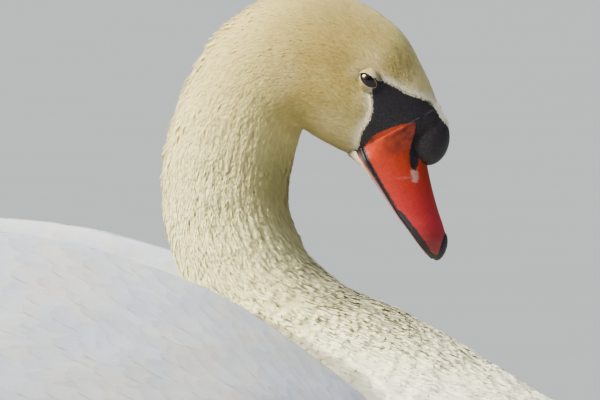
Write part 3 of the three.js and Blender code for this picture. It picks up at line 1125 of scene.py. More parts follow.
def lay(
    surface: Surface, cut: Coat, along: Array, around: Array, length: Array, width: Array, swing: Array,
    root_lift: Array, tip_lift: Array, flow: float = -1.0,
) -> Laid:
    """Lays vanes over a surface, each following it from root to tip.

    The centre line steps over the surface in the direction of the flow, swung aside by an angle. The points to both
    sides keep the surface's curve, and the lift grows from root to tip, so that each vane lies over the next roots.

    Args:
        surface: what the vanes lie on.
        cut: their stations, columns and outline.
        along: where each root is along the surface.
        around: where each root is round it.
        length: each vane's length in millimetres.
        width: each vane's full width.
        swing: the angle from the flow, in radians.
        root_lift: how far off the surface each root is.
        tip_lift: how far off the surface each tip is.
        flow: 1 if vanes point to the surface's last row, -1 if to its first.

    Returns:
        The vanes, by vane, station and column.
    """
    substeps = 3
    half = np.linspace(-0.5, 0.5, cut.columns)
    made = np.empty((len(along), cut.stations, cut.columns, 3))
    normals = np.empty(made.shape)
    places = np.empty((2, *made.shape[:3]))
    piece = length / (cut.stations - 1) / substeps
    for k in range(cut.stations):
        t = k / (cut.stations - 1)
        for _ in range(substeps if k else 0):
            along, around = surface.step(along, around, flow * piece * np.cos(swing), piece * np.sin(swing))
        for c, h in enumerate(half):
            spread = width * cut.profile[k] * h
            a, b = surface.step(along, around, -flow * spread * np.sin(swing), spread * np.cos(swing))
            arch = (cut.camber * width * (0.25 - h * h) * 4 + cut.tilt * h) * cut.profile[k]
            made[:, k, c] = surface.at(a, b, mix(root_lift, tip_lift, t) + arch)
            normals[:, k, c] = surface.read(surface.normals, a, b)
            places[:, :, k, c] = a, b
    return Laid(made, normals, places[0], places[1])


def finish_coat(
    name: str, cut: Coat, laid: Laid, tint: Array, root_uv: Array, finish: PlumageFinish, slot: str,
    ruffle: float = 0.2,
) -> Object:
    """Makes laid vanes a piece of the coat.

    The vanes are shaded as the soft surface they lie on, each one tipped a little its own way.

    Args:
        name: the piece's name.
        cut: the vanes' cut.
        laid: the vanes.
        tint: colours for each vane, station and column.
        root_uv: each root's place on the skin's unwrap.
        finish: the vanes' finish.
        slot: the record's material slot.
        ruffle: how far each vane's shading is tipped.

    Returns:
        The object.
    """
    made, normals = laid.points, laid.normals
    faces = vane_faces(len(made), cut)
    if normals is not None:
        corners = made.reshape(-1, 3)[faces]
        facing = np.cross(corners[:, 1] - corners[:, 0], corners[:, 3] - corners[:, 0])
        if (facing * normals.reshape(-1, 3)[faces[:, 0]]).sum() < 0:
            faces = faces[:, ::-1]
        own = unit(np.cross(np.gradient(made, axis=1), np.gradient(made, axis=2)))
        own *= np.sign((own * normals).sum())
        agree = (own * normals).sum(-1, keepdims=True)
        normals = mix(own, normals, smoothstep(agree, 0.2, 0.6))
    obj = make_mesh(name, made.reshape(-1, 3), faces)
    paint(obj, "tint", np.clip(np.broadcast_to(tint, made.shape).reshape(-1, 3), 0, 0.94))
    patches, own_map = vane_maps(cut, root_uv)
    unwrap(obj, "OFBake", patches)
    unwrap(obj, "Vane", own_map)
    if normals is not None:
        rng = np.random.default_rng(RNG_SEED + 9)
        normals = unit(normals + ruffle * rng.normal(size=(len(made), 1, 1, 3)))
        obj.data.normals_split_custom_set_from_vertices(normals.reshape(-1, 3).astype(np.float32))
    return dress(obj, slot, finish.build())


def vane_faces(count: int, cut: Coat) -> Array:
    """Quads for a number of vanes of one cut."""
    one = grid_faces(cut.stations, cut.columns, False)
    return (one[None] + (np.arange(count) * cut.stations * cut.columns)[:, None, None]).reshape(-1, 4)


def vane_maps(cut: Coat, root_uv: Array, patch: float = 0.003) -> tuple[Array, Array]:
    """UV maps for vanes.

    Args:
        cut: the vanes' cut.
        root_uv: each root's place on the skin's unwrap.
        patch: the side of each vane's patch on it.

    Returns:
        The map of patches, and each vane's own map from 0 to 1.
    """
    across, down = np.meshgrid(np.linspace(0, 1, cut.columns), np.linspace(0, 1, cut.stations))
    own = np.stack([across, down], -1).reshape(1, -1, 2)
    corner = np.clip(root_uv, 0.002, 0.998 - patch)[:, None]
    patches = (corner + own * patch).reshape(-1, 2)
    return patches, np.broadcast_to(own, (len(root_uv), own.shape[1], 2)).reshape(-1, 2)


def scatter(surface: Surface, spacing: Array, rng: np.random.Generator, tries: float = 7.0) -> tuple[Array, Array]:
    """Spreads roots evenly over a surface.

    Many random places are drawn in proportion to area and wanted density. Space is cut into cubes as wide as the
    wanted spacing, and only the first place in each cube is kept.

    Args:
        surface: where the roots go.
        spacing: the wanted spacing at each grid point, in millimetres, or infinity for none.
        rng: the source of chance.
        tries: places drawn for each one wanted.

    Returns:
        The along and around of the roots.
    """
    area = np.linalg.norm(np.cross(surface.slopes[0], surface.slopes[1]), axis=-1) / surface.points[..., 0].size
    weight = (area / spacing**2).ravel()
    count = int(weight.sum() * tries)
    rows, columns = surface.points.shape[:2]
    cell = rng.choice(weight.size, size=count, p=weight / weight.sum())
    r, c = np.divmod(cell, columns)
    along = np.clip((r + rng.uniform(-0.5, 0.5, count)) / (rows - 1), 0, 1)
    around = np.mod((c + rng.uniform(-0.5, 0.5, count)) / columns, 1)
    wanted = surface.read(np.where(np.isfinite(spacing), spacing, 1e3)[..., None], along, around)[:, 0]
    step = np.round(np.log(np.clip(wanted, 0.3, 900)) * 6)
    size = np.exp(step / 6)
    cubes = np.floor(surface.at(along, around) / size[:, None]).astype(np.int64)
    key = ((cubes[:, 0] * 4099 + cubes[:, 1]) * 4099 + cubes[:, 2]) * 131 + step.astype(np.int64)
    _, first = np.unique(key, return_index=True)
    first = first[wanted[first] < 500]
    return along[first], around[first]


FINE = Coat(4, 2, (0.7, 1.0, 0.8, 0.2))


def set_tufts(name: str, grid: Array, mask: Array, way: Array, length: float, shade: Array, spacing: float) -> None:
    """Sets tiny tufts on part of a surface, all pointing one way along it.

    Args:
        name: the piece's name.
        grid: the surface's points.
        mask: which of them may carry a tuft.
        way: the direction that the tufts point in.
        length: their length in millimetres.
        shade: their colour, one for all or one for each point.
        spacing: how far apart they stand.
    """
    rng = np.random.default_rng(RNG_SEED + len(name))
    picked, out = grid[mask], Surface(grid).normals[mask]
    _, first = np.unique(np.floor(picked / spacing).astype(int), axis=0, return_index=True)
    roots, out = picked[first], out[first]
    n = len(roots)
    along = way + rng.normal(0, 0.12, (n, 3))
    along = unit(along - out * (along * out).sum(-1, keepdims=True))
    side = np.cross(out, along)
    t, h = np.meshgrid(np.linspace(0, 1, FINE.stations), np.array([-0.5, 0.5]), indexing="ij")
    reach = (length * rng.uniform(0.8, 1.2, n))[:, None, None, None]
    wide = 1.3 * np.array(FINE.profile)[:, None] * h
    made = roots[:, None, None] + along[:, None, None] * reach * t[..., None] + side[:, None, None] * wide[..., None]
    made = made + out[:, None, None] * (-0.2 + 1.1 * t)[..., None]
    shade = shade[mask][first][:, None, None] if shade.ndim > 1 else shade
    tint = shade * (1 + rng.normal(0, 0.03, n))[:, None, None, None] * np.ones(made.shape)
    uv = np.stack([np.full(n, 0.64), rng.uniform(0.05, 0.95, n)], -1)
    laid = Laid(made, np.broadcast_to(out[:, None, None], made.shape))
    finish_coat(name, FINE, laid, tint, uv, PlumageFinish(name), "stained_feather", 0.1)


@dataclass(frozen=True)
class Zone:
    """A stretch of the body's coat: where it runs, counting sections, and how its feathers are cut and shaded."""

    name: str
    first: float
    last: float
    cut: Coat
    slot: str
    ruffle: float


ZONES = (
    Zone("head", 24.3, LAST + 1, Coat(3, 2, (0.8, 1.0, 0.3)), "stained_feather", 0.05),
    Zone("nape", 22.3, 24.3, FINE, "stained_feather", 0.09),
    Zone("neck_upper", 20.3, 22.3, FINE, "stained_feather", 0.14),
    Zone("neck", 18.3, 20.3, FINE, "stained_feather", 0.13),
    Zone("neck_base", 14.6, 18.3, Coat(5, 2, (0.6, 0.95, 1.0, 0.8, 0.25)), "white_feather", 0.06),
    Zone("trunk", -1, 14.6, Coat(5, 3, (0.5, 0.95, 1.0, 0.85, 0.35), 0.05), "white_feather", 0.03),
)


@dataclass
class Swan:
    """The body's skin and its coat."""

    form: BodyForm = field(default_factory=BodyForm)
    skin: Surface = field(init=False)
    arc: Array = field(init=False)

    def __post_init__(self) -> None:
        """Works out the skin as a fine sleeve, and how far along its middle each row lies."""
        self.skin = self.form.skin(np.linspace(0, LAST, LAST * 20 + 1), 240)
        middle = self.skin.points.mean(axis=1)
        self.arc = np.concatenate([[0], np.cumsum(np.linalg.norm(np.diff(middle, axis=0), axis=-1))])

    def marks(self, place: Array, points: Array) -> dict[str, Array]:
        """The skin's colours and the distances to its marks.

        Args:
            place: where along the body, counting sections.
            points: positions in millimetres.

        Returns:
            Values for each point, by attribute.
        """
        x, z = seen(points)
        front = place > FACE
        return {
            "bare": np.where(front, outline_distance(LORE, x, z), -20),
            "dark": np.where(front, -outline_distance(SHEATH, x, z), 20),
            "horn": horn_colour(x, z),
            "blotchy": np.ones(len(x)),
            "tint": coat_colour(place, points) * 0.86,
        }

    def build_skin(self, others: list[tuple[Array, tuple[float, float, float, float]]]) -> Object:
        """Makes one skin of the body, the wings and the tail's root, each closed at both ends.

        Args:
            others: further sleeves with their tiles of the unwrap, as left, bottom, width and height.

        Returns:
            The object.
        """
        parts = np.linspace(0, 16, 97), np.linspace(16, NAPE, 85)[1:], np.linspace(NAPE, LAST, 161)[1:]
        rows = np.concatenate(parts)
        body = self.form.skin(rows, 200).points
        warp = np.interp(rows, [0, 16, NAPE, LAST], [0, 0.2, 0.36, 0.66])
        maps = [sleeve_map(warp, body.shape[1], (0, 0, 1, 1))]
        maps += [sleeve_map(np.linspace(0, 1, len(sleeve)), sleeve.shape[1], tile) for sleeve, tile in others]
        obj, points = join_sleeves("skin", [body, *(sleeve for sleeve, _ in others)], maps)
        own = body[..., 0].size + 2
        place = np.concatenate([np.repeat(rows, body.shape[1]), [0, LAST], np.zeros(len(points) - own)])
        marks = self.marks(place, points)
        marks["tint"][own:] = wing_white(points[own:], 22) * 0.95
        for name, values in marks.items():
            paint(obj, name, values)
        wings = (f"wing_{side.label}_{part}" for side in Side for part in ("coverts", "secondaries"))
        nodes = "trunk", "neck_lower", "neck_middle", "neck_upper", "head", "tail", *wings
        return dress(obj, "white_feather", HornFinish("skin", True).build(), *nodes)

    def coat(self) -> None:
        """Feathers the body from forehead to tail, but not the bare lore and the eye's opening."""
        rng = np.random.default_rng(RNG_SEED)
        skin = self.skin
        rows, columns = skin.points.shape[:2]
        place = np.repeat(np.linspace(0, LAST, rows)[:, None], columns, 1)
        stops = [0, 6, 11, 12.5, 14, 15, 17, 18.3, 19, 21, 23, 24.5, 29]
        spacing = np.interp(place, stops, [8, 9, 8, 6.2, 4.2, 3.4, 2.4, 1.7, 1.5, 1.32, 1.15, 1.0, 0.9])
        x, z = seen(skin.points)
        lore = np.where(place > FACE, outline_distance(LORE, x, z), -20)
        p = (x - EYE_SEEN[0]) * EYE_LONG[0] + (z - EYE_SEEN[1]) * EYE_LONG[1]
        q = (z - EYE_SEEN[1]) * EYE_LONG[0] - (x - EYE_SEEN[0]) * EYE_LONG[1]
        eye = (np.hypot(p / 6.6, q / 4.2) < 1) & (place > FACE)
        under = (skin.points[..., 2] < 6) & (place < 14)
        spacing = np.where((lore > -0.2) | eye, np.inf, np.where(under, 20, spacing))
        along, around = scatter(skin, spacing, rng)
        for zone in ZONES:
            pick = (along * LAST >= zone.first) & (along * LAST < zone.last)
            self.coat_zone(zone, along[pick], around[pick], rng)

    def coat_zone(self, zone: Zone, along: Array, around: Array, rng: np.random.Generator) -> None:
        """Lays the feathers of one zone.

        Args:
            zone: which zone.
            along: the roots' places along the body.
            around: the roots' places round it.
            rng: the source of chance.
        """
        cut, n = zone.cut, len(along)
        where = along * LAST
        stops = [0, 6, 11, 12.5, 14, 15, 17, 19, 21, 23, 25, 29]
        vary = rng.uniform(0.8, 1.2, (2, n))
        length = np.interp(where, stops, [26, 30, 27, 23, 18, 15, 12.5, 10.5, 9, 7, 5.2, 3.3]) * vary[0]
        width = np.interp(where, stops, [15, 17, 15, 12.5, 10, 8, 5, 2.6, 2.0, 1.8, 1.6, 1.3]) * vary[1]
        depth = np.interp(where, [0, 1, 4, 12, 16, 19, 21, 23, 25, 29], [0.5, 3, 6, 6.3, 6, 5, 4.1, 3.0, 2.15, 1.5])
        roots = self.skin.at(along, around)
        rough = np.interp(where, [12, 14, 16, 17.5, 19, 21, 23, 25], [0.03, 0.08, 0.22, 0.6, 1.0, 0.8, 0.4, 0.1])
        locks = self.locks(along, around, 7)
        swing = rng.normal(0, 0.10, n) + 0.16 * rough * self.locks(along, around, 17)
        tip = depth * (0.86 + 0.14 * rough * locks + rng.uniform(-0.06, 0.06, n) * (0.2 + 0.8 * rough))
        tip += self.loose_tips(where, roots, rng)
        deep = depth * np.interp(where, [13, 16, 18, 20, 23, 25], [0.82, 0.79, 0.62, 0.45, 0.35, 0.3])
        laid = lay(self.skin, cut, along, around, length, width, swing, deep, np.clip(tip, 0.2, None))
        laid.swell(self.skin, self.fluff)
        top = coat_colour(where, roots)
        top = top * (1 + 0.05 * rough * locks + rng.normal(0, 0.02, n) * (0.4 + rough))[:, None]
        # Painted shade: the roots are painted darker and olive to stand for the shade in the gaps between feathers,
        # most on the neck.
        root_shade = rough * np.interp(where, [15, 17, 19, 21], [0.12, 0.26, 0.42, 0.5])
        root = mix(top, srgb(188, 168, 112), root_shade[:, None])
        t = np.linspace(0, 1, cut.stations)[None, :, None, None]
        tint = mix(root[:, None, None], top[:, None, None], np.clip(t * 1.4, 0, 1))
        uv, finish = np.stack([along, around], -1), PlumageFinish(f"feathers_{zone.name}")
        finish_coat(f"plumage_{zone.name}", cut, laid, tint, uv, finish, zone.slot, zone.ruffle)

    def loose_tips(self, where: Array, roots: Array, rng: np.random.Generator) -> Array:
        """How far single feathers stand out from the coat: a few along the nape and down the neck's front.

        Args:
            where: the roots' places along the body, counting sections.
            roots: their positions.
            rng: the source of chance.

        Returns:
            Heights in millimetres, mostly 0.
        """
        share = frontness(where, roots[:, 0])
        nape = np.interp(where, [18, 20.5, 22, 23.5, 24.6, 25.2], [0.3, 0.6, 0.8, 1, 0.6, 0]) * (share < 0.3)
        throat = np.interp(where, [17, 18.5, 20.5, 21.5], [0, 0.45, 0.6, 0]) * (share > 0.7)
        picked = rng.random(len(where)) < 0.09 * bell(roots[:, 1], 14)
        return picked * rng.uniform(1.2, 2.8, len(where)) * (nape + throat)

    def locks(self, along: Array, around: Array, seed: int) -> Array:
        """Long narrow noise that runs with the feathers, about four times as long as wide."""
        u = np.interp(along, np.linspace(0, 1, len(self.arc)), self.arc)
        return wobble(np.stack([u * 0.3, around * 240, 0 * u], -1), 4.2, seed)

    def fluff(self, points: Array, along: Array, around: Array) -> Array:
        """Height of the coat's relief: narrow locks on the neck, and round soft clumps on its base and the breast.

        Clumps are the size of a smooth noise without its sign, so they are round above and creased between.

        Args:
            points: positions in millimetres.
            along: how far along the skin each lies.
            around: how far round it each lies.

        Returns:
            Heights in millimetres.
        """
        where = along * LAST
        locks = 0.45 * self.locks(along, around, 7) * np.interp(where, [14, 16, 21, 23, 24.5], [0, 1, 0.8, 0.35, 0])
        fine, wide = (np.sqrt(wobble(points, size, seed) ** 2 + 0.03) - 0.35 for size, seed in ((10, 41), (21, 42)))
        fine *= np.interp(where, [13.5, 15, 16, 17.5, 19, 20.5], [0, 0.3, 0.8, 1.2, 0.6, 0])
        wide *= np.interp(where, [6, 10, 13, 15.5, 17.5], [0.5, 1.2, 1.2, 1.2, 0])
        return locks + fine + wide


# ---------------------------------------------------------------- head parts


def skin_out(skin: Surface, x: Array, z: Array) -> Array:
    """How far out the skin of the head lies to both sides, at places given by forward and height.

    It is the mean of the four nearest points of the skin, weighted by nearness.

    Args:
        skin: the body's skin.
        x: forward, with the head unturned.
        z: height.

    Returns:
        Distances from the middle, always positive.
    """
    part = skin.points[int(len(skin.points) * 25 / LAST):].reshape(-1, 3)
    px, py, pz = np.moveaxis(unturned(part), -1, 0)
    px, py, pz = px[py > 0.5], py[py > 0.5], pz[py > 0.5]
    gap = (x.reshape(-1, 1) - px) ** 2 + (z.reshape(-1, 1) - pz) ** 2
    near = np.argpartition(gap, 4, axis=1)[:, :4]
    weight = 1 / (np.take_along_axis(gap, near, 1) + 0.02)
    return ((py[near] * weight).sum(1) / weight.sum(1)).reshape(x.shape)


@dataclass
class Bill:
    """Both mandibles, the knob and the nail."""

    skin: Surface
    lower_narrower: float = 1.6
    flat: float = 0.12
    gap: float = 0.3
    groove: float = 0.9

    def base_half_width(self, x: Array, z: Array) -> Array:
        """Half width of the head's last section, at places on it.

        With u from -1 at its lower edge to 1 at its upper one, it is (1 - |u|^2.1)^0.475 of the whole.

        Args:
            x: forward.
            z: height.

        Returns:
            Distances from the middle.
        """
        back, front = BODY[-1, :2], BODY[-1, 2:4]
        across = back - front
        u = ((x - front[0]) * across[0] + (z - front[1]) * across[1]) / (across @ across) * 2 - 1
        return BODY[-1, 4] * np.clip(1 - np.abs(u) ** (2 / 0.95), 0.0, 1) ** 0.475

    def upper(self) -> None:
        """Makes the upper mandible.

        Each section runs from the culmen down both sides to the cutting edge and closes flat below it. The first
        sections take the head's width, so that the sheath grows out of the face.
        """
        levels = np.concatenate([np.linspace(-0.32, -0.02, 9), np.linspace(0, len(BILL) - 1, 151)])
        place, a = rings(levels, 112)
        culmen_x, culmen_z, edge_x, edge_z, half, _ = np.moveaxis(catmull(BILL, np.maximum(place, 0)), -1, 0)
        rise = np.maximum(np.cos(a), -self.flat)
        share = (rise + self.flat) / (1 + self.flat)
        risen = np.maximum(-place, 0) * 16
        x = mix(edge_x, culmen_x, share) - 0.47 * risen
        z = mix(edge_z, culmen_z, share) + 0.88 * risen
        out = half * np.abs(np.sin(a)) ** 0.85 * (1 - 0.28 * np.maximum(rise, 0) ** 2)
        shut = np.minimum(np.abs(np.sin(a)) * 3, 1)
        at_base = self.base_half_width(x, z) * shut + 0.1
        before = place < 0
        lift = 0.1 - 0.7 * smoothstep(-place[before], 0.26, 0.32)
        at_base[before] = (skin_out(self.skin, x[before], z[before]) + lift) * shut[before]
        out = mix(at_base, out, smoothstep(place, 0, 1.1))
        seen_x, seen_z = x - SEEN_BACK * out, z - SEEN_DOWN * out
        streak = outline_distance(STREAK, seen_x, seen_z)
        out -= self.groove * smoothstep(streak, -0.4, 1.6) * (share < 0.93) * smoothstep(out, 2, 6)
        obj, points = closed_mesh("bill_upper_horn", turned(np.stack([x, out * np.sign(np.sin(a)), z], -1)))
        rim = np.hypot(x - edge_x, z - edge_z)
        dark = np.maximum(np.maximum(streak, 1.25 - rim), outline_distance(TIP, seen_x, seen_z))
        above = -outline_distance(SHEATH, seen_x, seen_z)
        dark = np.where(place < 0.6, np.maximum(dark, above), dark)
        paint(obj, "dark", padded(dark, 0.0))
        self.wear(obj, points, padded(seen_x, 160.0), padded(seen_z, 440.0))
        dress(obj, "orange_bill", HornFinish("bill_horn").build(), "bill_upper")

    def wear(self, obj: Object, points: Array, x: Array, z: Array) -> None:
        """Colours the upper mandible, with a pale patch and a scratch on its side.

        Args:
            obj: the mandible.
            points: its positions.
            x: forward, as its side is seen.
            z: height, as its side is seen.
        """
        pale = smoothstep(outline_distance(PATCH, x, z) + 0.35 * wobble(points, 4, 9), -0.5, 0.6)
        scratch = bell(z - 420.3 - 0.06 * (x - 165), 0.55) * smoothstep(x, 159, 168) * (x < 173)
        worn = np.clip(pale + 0.45 * scratch * (0.6 + 0.4 * wobble(points, 3, 11)), 0, 1)
        paint(obj, "horn", mix(horn_colour(x, z), srgb(206, 160, 150), (0.75 * worn)[:, None]))
        paint(obj, "blotchy", np.clip(1.2 - (455 - z) / 24, 0, 1) * (1 - worn))

    def lower(self) -> None:
        """Makes the lower mandible, flat against the upper one and rounded below."""
        place, a = rings(np.concatenate([[-0.3, -0.15], np.linspace(0, len(BILL) - 1, 121)]), 72)
        culmen_x, culmen_z, edge_x, edge_z, half, thick = np.moveaxis(catmull(BILL, np.maximum(place, 0)), -1, 0)
        sunk = np.maximum(-place, 0) * 16
        down_x, down_z = edge_x - culmen_x, edge_z - culmen_z
        size = np.hypot(down_x, down_z)
        fall = self.gap + thick * np.maximum(np.cos(a), 0) ** 0.8
        x = edge_x + down_x / size * (fall + 0.1 * sunk) - 0.62 * sunk
        z = edge_z + down_z / size * (fall + 0.1 * sunk) + 0.70 * sunk
        out = (half - self.lower_narrower) * np.sin(a)
        at_base = np.minimum(self.base_half_width(x, z) - 0.1, np.abs(out) + 3)
        shut = np.minimum(np.abs(np.sin(a)) * 1.6, 1) * np.sign(np.sin(a))
        out = mix(at_base * shut, out, smoothstep(place, 0, 1.2))
        sleeve = turned(np.stack([x, out, z], -1))
        obj, _ = closed_mesh("bill_lower_horn", sleeve)
        share = np.clip((fall - self.gap) / thick, 0, 1)
        line = bell(share - 0.55, 0.16) * smoothstep(place, -0.5, 0.6) * (place < 7.4)
        chin = outline_distance(CHIN, *seen(sleeve))
        black = srgb(28, 23, 27)
        tint = mix(black * np.ones(sleeve.shape), srgb(206, 128, 118), (0.8 * line)[..., None])
        tint = mix(tint, srgb(226, 216, 180), smoothstep(chin, -0.1, 0.4)[..., None]).reshape(-1, 3)
        paint(obj, "tint", np.concatenate([tint, [black] * 2]))
        dress(obj, "black_skin", PaintedFinish("bill_lower_skin", 0.45).build(), "bill_lower")
        set_tufts("plumage_chin", sleeve, chin > 0.1, np.array([-0.62, 0, 0.78]), 4.6, srgb(236, 226, 190), 0.9)

    def knob(self) -> None:
        """Makes the knob and its root as one surface, with a wedge of small feathers over it.

        Rays leave a point inside it, and each ends where a smooth union of two ellipsoids ends.
        """
        obj, grid = self.pebble("bill_knob_skin", (KNOB, KNOB_ROOT), (180.5, 0.0, 451.0), 96, 128, 4.5)
        dress(obj, "black_skin", HornFinish("knob_skin").build(), "bill_knob")
        x, y, z = np.moveaxis(unturned(grid), -1, 0)
        wedge = 5.2 * np.sqrt(np.clip((z - 450.5) / 6, 0, 4)) - np.abs(y) + 0.5 * wobble(grid, 3, 61)
        mask = (x > 186) & (wedge > 0) & (z > 451)
        set_tufts("plumage_forehead", grid, mask, np.array([-0.25, 0, 1.0]), 3.4, srgb(236, 228, 200), 0.75)

    def nail(self) -> None:
        """Makes the hard nail at the bill's tip."""
        obj, _ = self.pebble("bill_nail_horn", (NAIL,), NAIL.at, 32, 48, 0.5)
        dress(obj, "black_skin", HornFinish("nail_horn").build(), "bill_nail")

    def pebble(
        self, name: str, eggs: tuple[Egg, ...], centre: Triple, rows: int, columns: int, soft: float
    ) -> tuple[Object, Array]:
        """Makes a black body by rays from a centre, whose ends are found by halving.

        Args:
            name: the object's name.
            eggs: the ellipsoids that it unites.
            centre: where the rays start.
            rows: points from pole to pole.
            columns: points round.
            soft: how softly the ellipsoids run together, in millimetres.

        Returns:
            The object, and its points by row and column.
        """
        up, turn = rings(np.linspace(0, math.pi, rows), columns)
        rays = np.stack([np.sin(up) * np.cos(turn), np.sin(up) * np.sin(turn), np.cos(up)], -1)
        low, high = np.zeros(up.shape), np.full(up.shape, 40.0)
        for _ in range(30):
            middle = (low + high) / 2
            inside = egg_distance(np.array(centre) + rays * middle[..., None], eggs, soft) < 0
            low, high = np.where(inside, middle, low), np.where(inside, high, middle)
        grid = turned(np.array(centre) + rays * low[..., None])
        obj = make_mesh(name, grid.reshape(-1, 3), grid_faces(rows, columns, True)[:, ::-1])
        paint(obj, "dark", np.full(up.size, 5.0))
        paint(obj, "horn", np.tile(srgb(30, 25, 30), (up.size, 1)))
        paint(obj, "blotchy", np.zeros(up.size))
        return obj, grid


def padded(grid: Array, value: float) -> Array:
    """Lists a sleeve's values with two more, for its ends."""
    return np.concatenate([grid.ravel(), [value, value]])


def egg_distance(points: Array, eggs: tuple[Egg, ...], soft: float) -> Array:
    """Rough distance to a smooth union of leaning ellipsoids, negative inside.

    With k the length of the point over the radii, one ellipsoid's distance is k (k - 1) over the length of the
    point over the squared radii. Two distances blend over `soft` where they are alike.

    Args:
        points: positions in millimetres.
        eggs: the ellipsoids.
        soft: how softly they run together.

    Returns:
        One distance for each point.
    """
    total = None
    for egg in eggs:
        p = points - np.array(egg.at)
        c, s = math.cos(egg.lean), math.sin(egg.lean)
        q = np.stack([p[..., 0] * c - p[..., 2] * s, p[..., 1], p[..., 0] * s + p[..., 2] * c], -1)
        radii = np.array(egg.radii)
        inner = np.linalg.norm(q / radii, axis=-1)
        distance = inner * (inner - 1) / np.maximum(np.linalg.norm(q / radii**2, axis=-1), 1e-6)
        if total is None:
            total = distance
        else:
            blend = np.clip(0.5 + 0.5 * (total - distance) / soft, 0, 1)
            total = mix(total, distance, blend) - soft * blend * (1 - blend)
    return total


@dataclass
class Eyes:
    """Both eyes with their lids."""

    skin: Surface
    opening: tuple[float, float] = (5.8, 3.15)
    outer: tuple[float, float] = (10.0, 8.4)

    def build(self) -> None:
        """Makes each eyeball and its ring of lids."""
        for side in Side:
            self.ball(side)
            self.lids(side)

    def ball(self, side: Side) -> None:
        """Makes the eyeball, a sphere: a dark brown iris round a black pupil, under a clear shine.

        Args:
            side: which eye.
        """
        up, turn = rings(np.linspace(0, math.pi, 40), 56)
        out = np.array([0.10, side.value * 0.99, -0.02])
        rays = np.stack([np.sin(up) * np.cos(turn), np.cos(up) * side.value, np.sin(up) * np.sin(turn)], -1)
        centre = np.array([EYE_AT[0], side.value * EYE_AT[1], EYE_AT[2]])
        points = turned(centre + rays * EYE_RADIUS).reshape(-1, 3)
        faces = grid_faces(40, 56, True)
        obj = make_mesh(f"eyeball_{side.label}", points, faces if side is Side.RIGHT else faces[:, ::-1])
        off = np.degrees(np.arccos(np.clip(rays.reshape(-1, 3) @ unit(out), -1, 1)))
        iris = smoothstep(off, 15, 19) * (1 - smoothstep(off, 34, 40))
        paint(obj, "tint", mix(srgb(7, 6, 7) * np.ones((len(points), 3)), srgb(38, 22, 16), iris[:, None]))
        dress(obj, "eye", PaintedFinish("eyeball", 0.2, 0.0, coat=0.08).build(), f"eye_{side.label}")

    def lids(self, side: Side) -> None:
        """Makes the lids: a ring from an almond on the eyeball out to the skin, with a rounded rim.

        Args:
            side: which eye.
        """
        rows, columns = 22, 96
        s, turn = rings(np.linspace(0, 1, rows), columns)
        p = mix(self.opening[0] * np.cos(turn), self.outer[0] * np.cos(turn), s)
        q = mix(self.opening[1] * power(np.sin(turn), 1.2), self.outer[1] * np.sin(turn), s)
        lx, lz = EYE_LONG
        x, z = EYE_AT[0] + p * lx - q * lz, EYE_AT[2] + p * lz + q * lx
        on_ball = EYE_AT[1] + np.sqrt(np.maximum((EYE_RADIUS + 0.25) ** 2 - p**2 - q**2, 0))
        on_skin = skin_out(self.skin, x, z) - 0.15
        gap = np.clip(0.5 + 0.5 * (on_ball - on_skin) / 1.2, 0, 1)
        y = mix(on_skin, on_ball, gap) + 1.2 * gap * (1 - gap)
        y += 0.4 * bell(s - 0.09, 0.07)
        y = np.where(s == 0, on_ball - 0.6, y)
        y = mix(y, on_skin - 0.3, smoothstep(s, 0.8, 1.0))
        points = turned(np.stack([x, y * side.value, z], -1))
        faces = grid_faces(rows, columns, True)
        faces = faces if side is Side.LEFT else faces[:, ::-1]
        obj = make_mesh(f"eyelids_{side.label}", points.reshape(-1, 3), faces)
        coat = coat_colour(np.full(x.shape, 27.0), points)
        brown = smoothstep(np.sin(turn) + 0.8 * np.cos(turn), -0.2, 0.9)[..., None]
        rim = mix(srgb(176, 156, 128), srgb(146, 108, 86), brown)
        tint = mix(rim, coat * 0.85, smoothstep(s, 0.07, 0.13)[..., None])
        tint = mix(tint, srgb(52, 36, 32), (1 - smoothstep(s, 0.0, 0.07))[..., None])
        lore = outline_distance(LORE, *seen(points))
        front = smoothstep(lore, -0.8, 0.4) * smoothstep(s, 0.08, 0.14)
        tint = mix(tint, srgb(34, 28, 31), front[..., None])
        paint(obj, "tint", tint.reshape(-1, 3))
        dress(obj, "black_skin", PaintedFinish("eyelid", 0.7, 0.00015, 1400.0).build())
        feathered = (s > 0.12) & (s < 0.8) & (lore < -0.3)
        set_tufts(f"plumage_lids_{side.label}", points, feathered, np.array([-0.9, 0, -0.3]), 2.2, coat, 0.7)


# ---------------------------------------------------------------- wings and tail


def wing_white(points: Array, seed: int) -> Array:
    """The white of wing and tail feathers painted grey-blue as in shade, bluer and warmer in soft clouds, and with
    painted shade darker at the shoulder.

    Args:
        points: positions in millimetres.
        seed: which clouds.

    Returns:
        Linear colours.
    """
    warm = np.clip(0.5 + 0.4 * wobble(points, 70, seed) + 0.3 * wobble(points, 24, seed + 50), 0, 1)
    # The grey-blue is painted shade: the white feathers as they look in skylight.
    white = mix(srgb(169, 176, 190) * np.ones(points.shape), srgb(187, 185, 180), warm[..., None])
    # Painted shade: the front of the wing is darkened.
    return white * (1 - 0.15 * smoothstep(points[..., 0], -40, 150))[..., None]


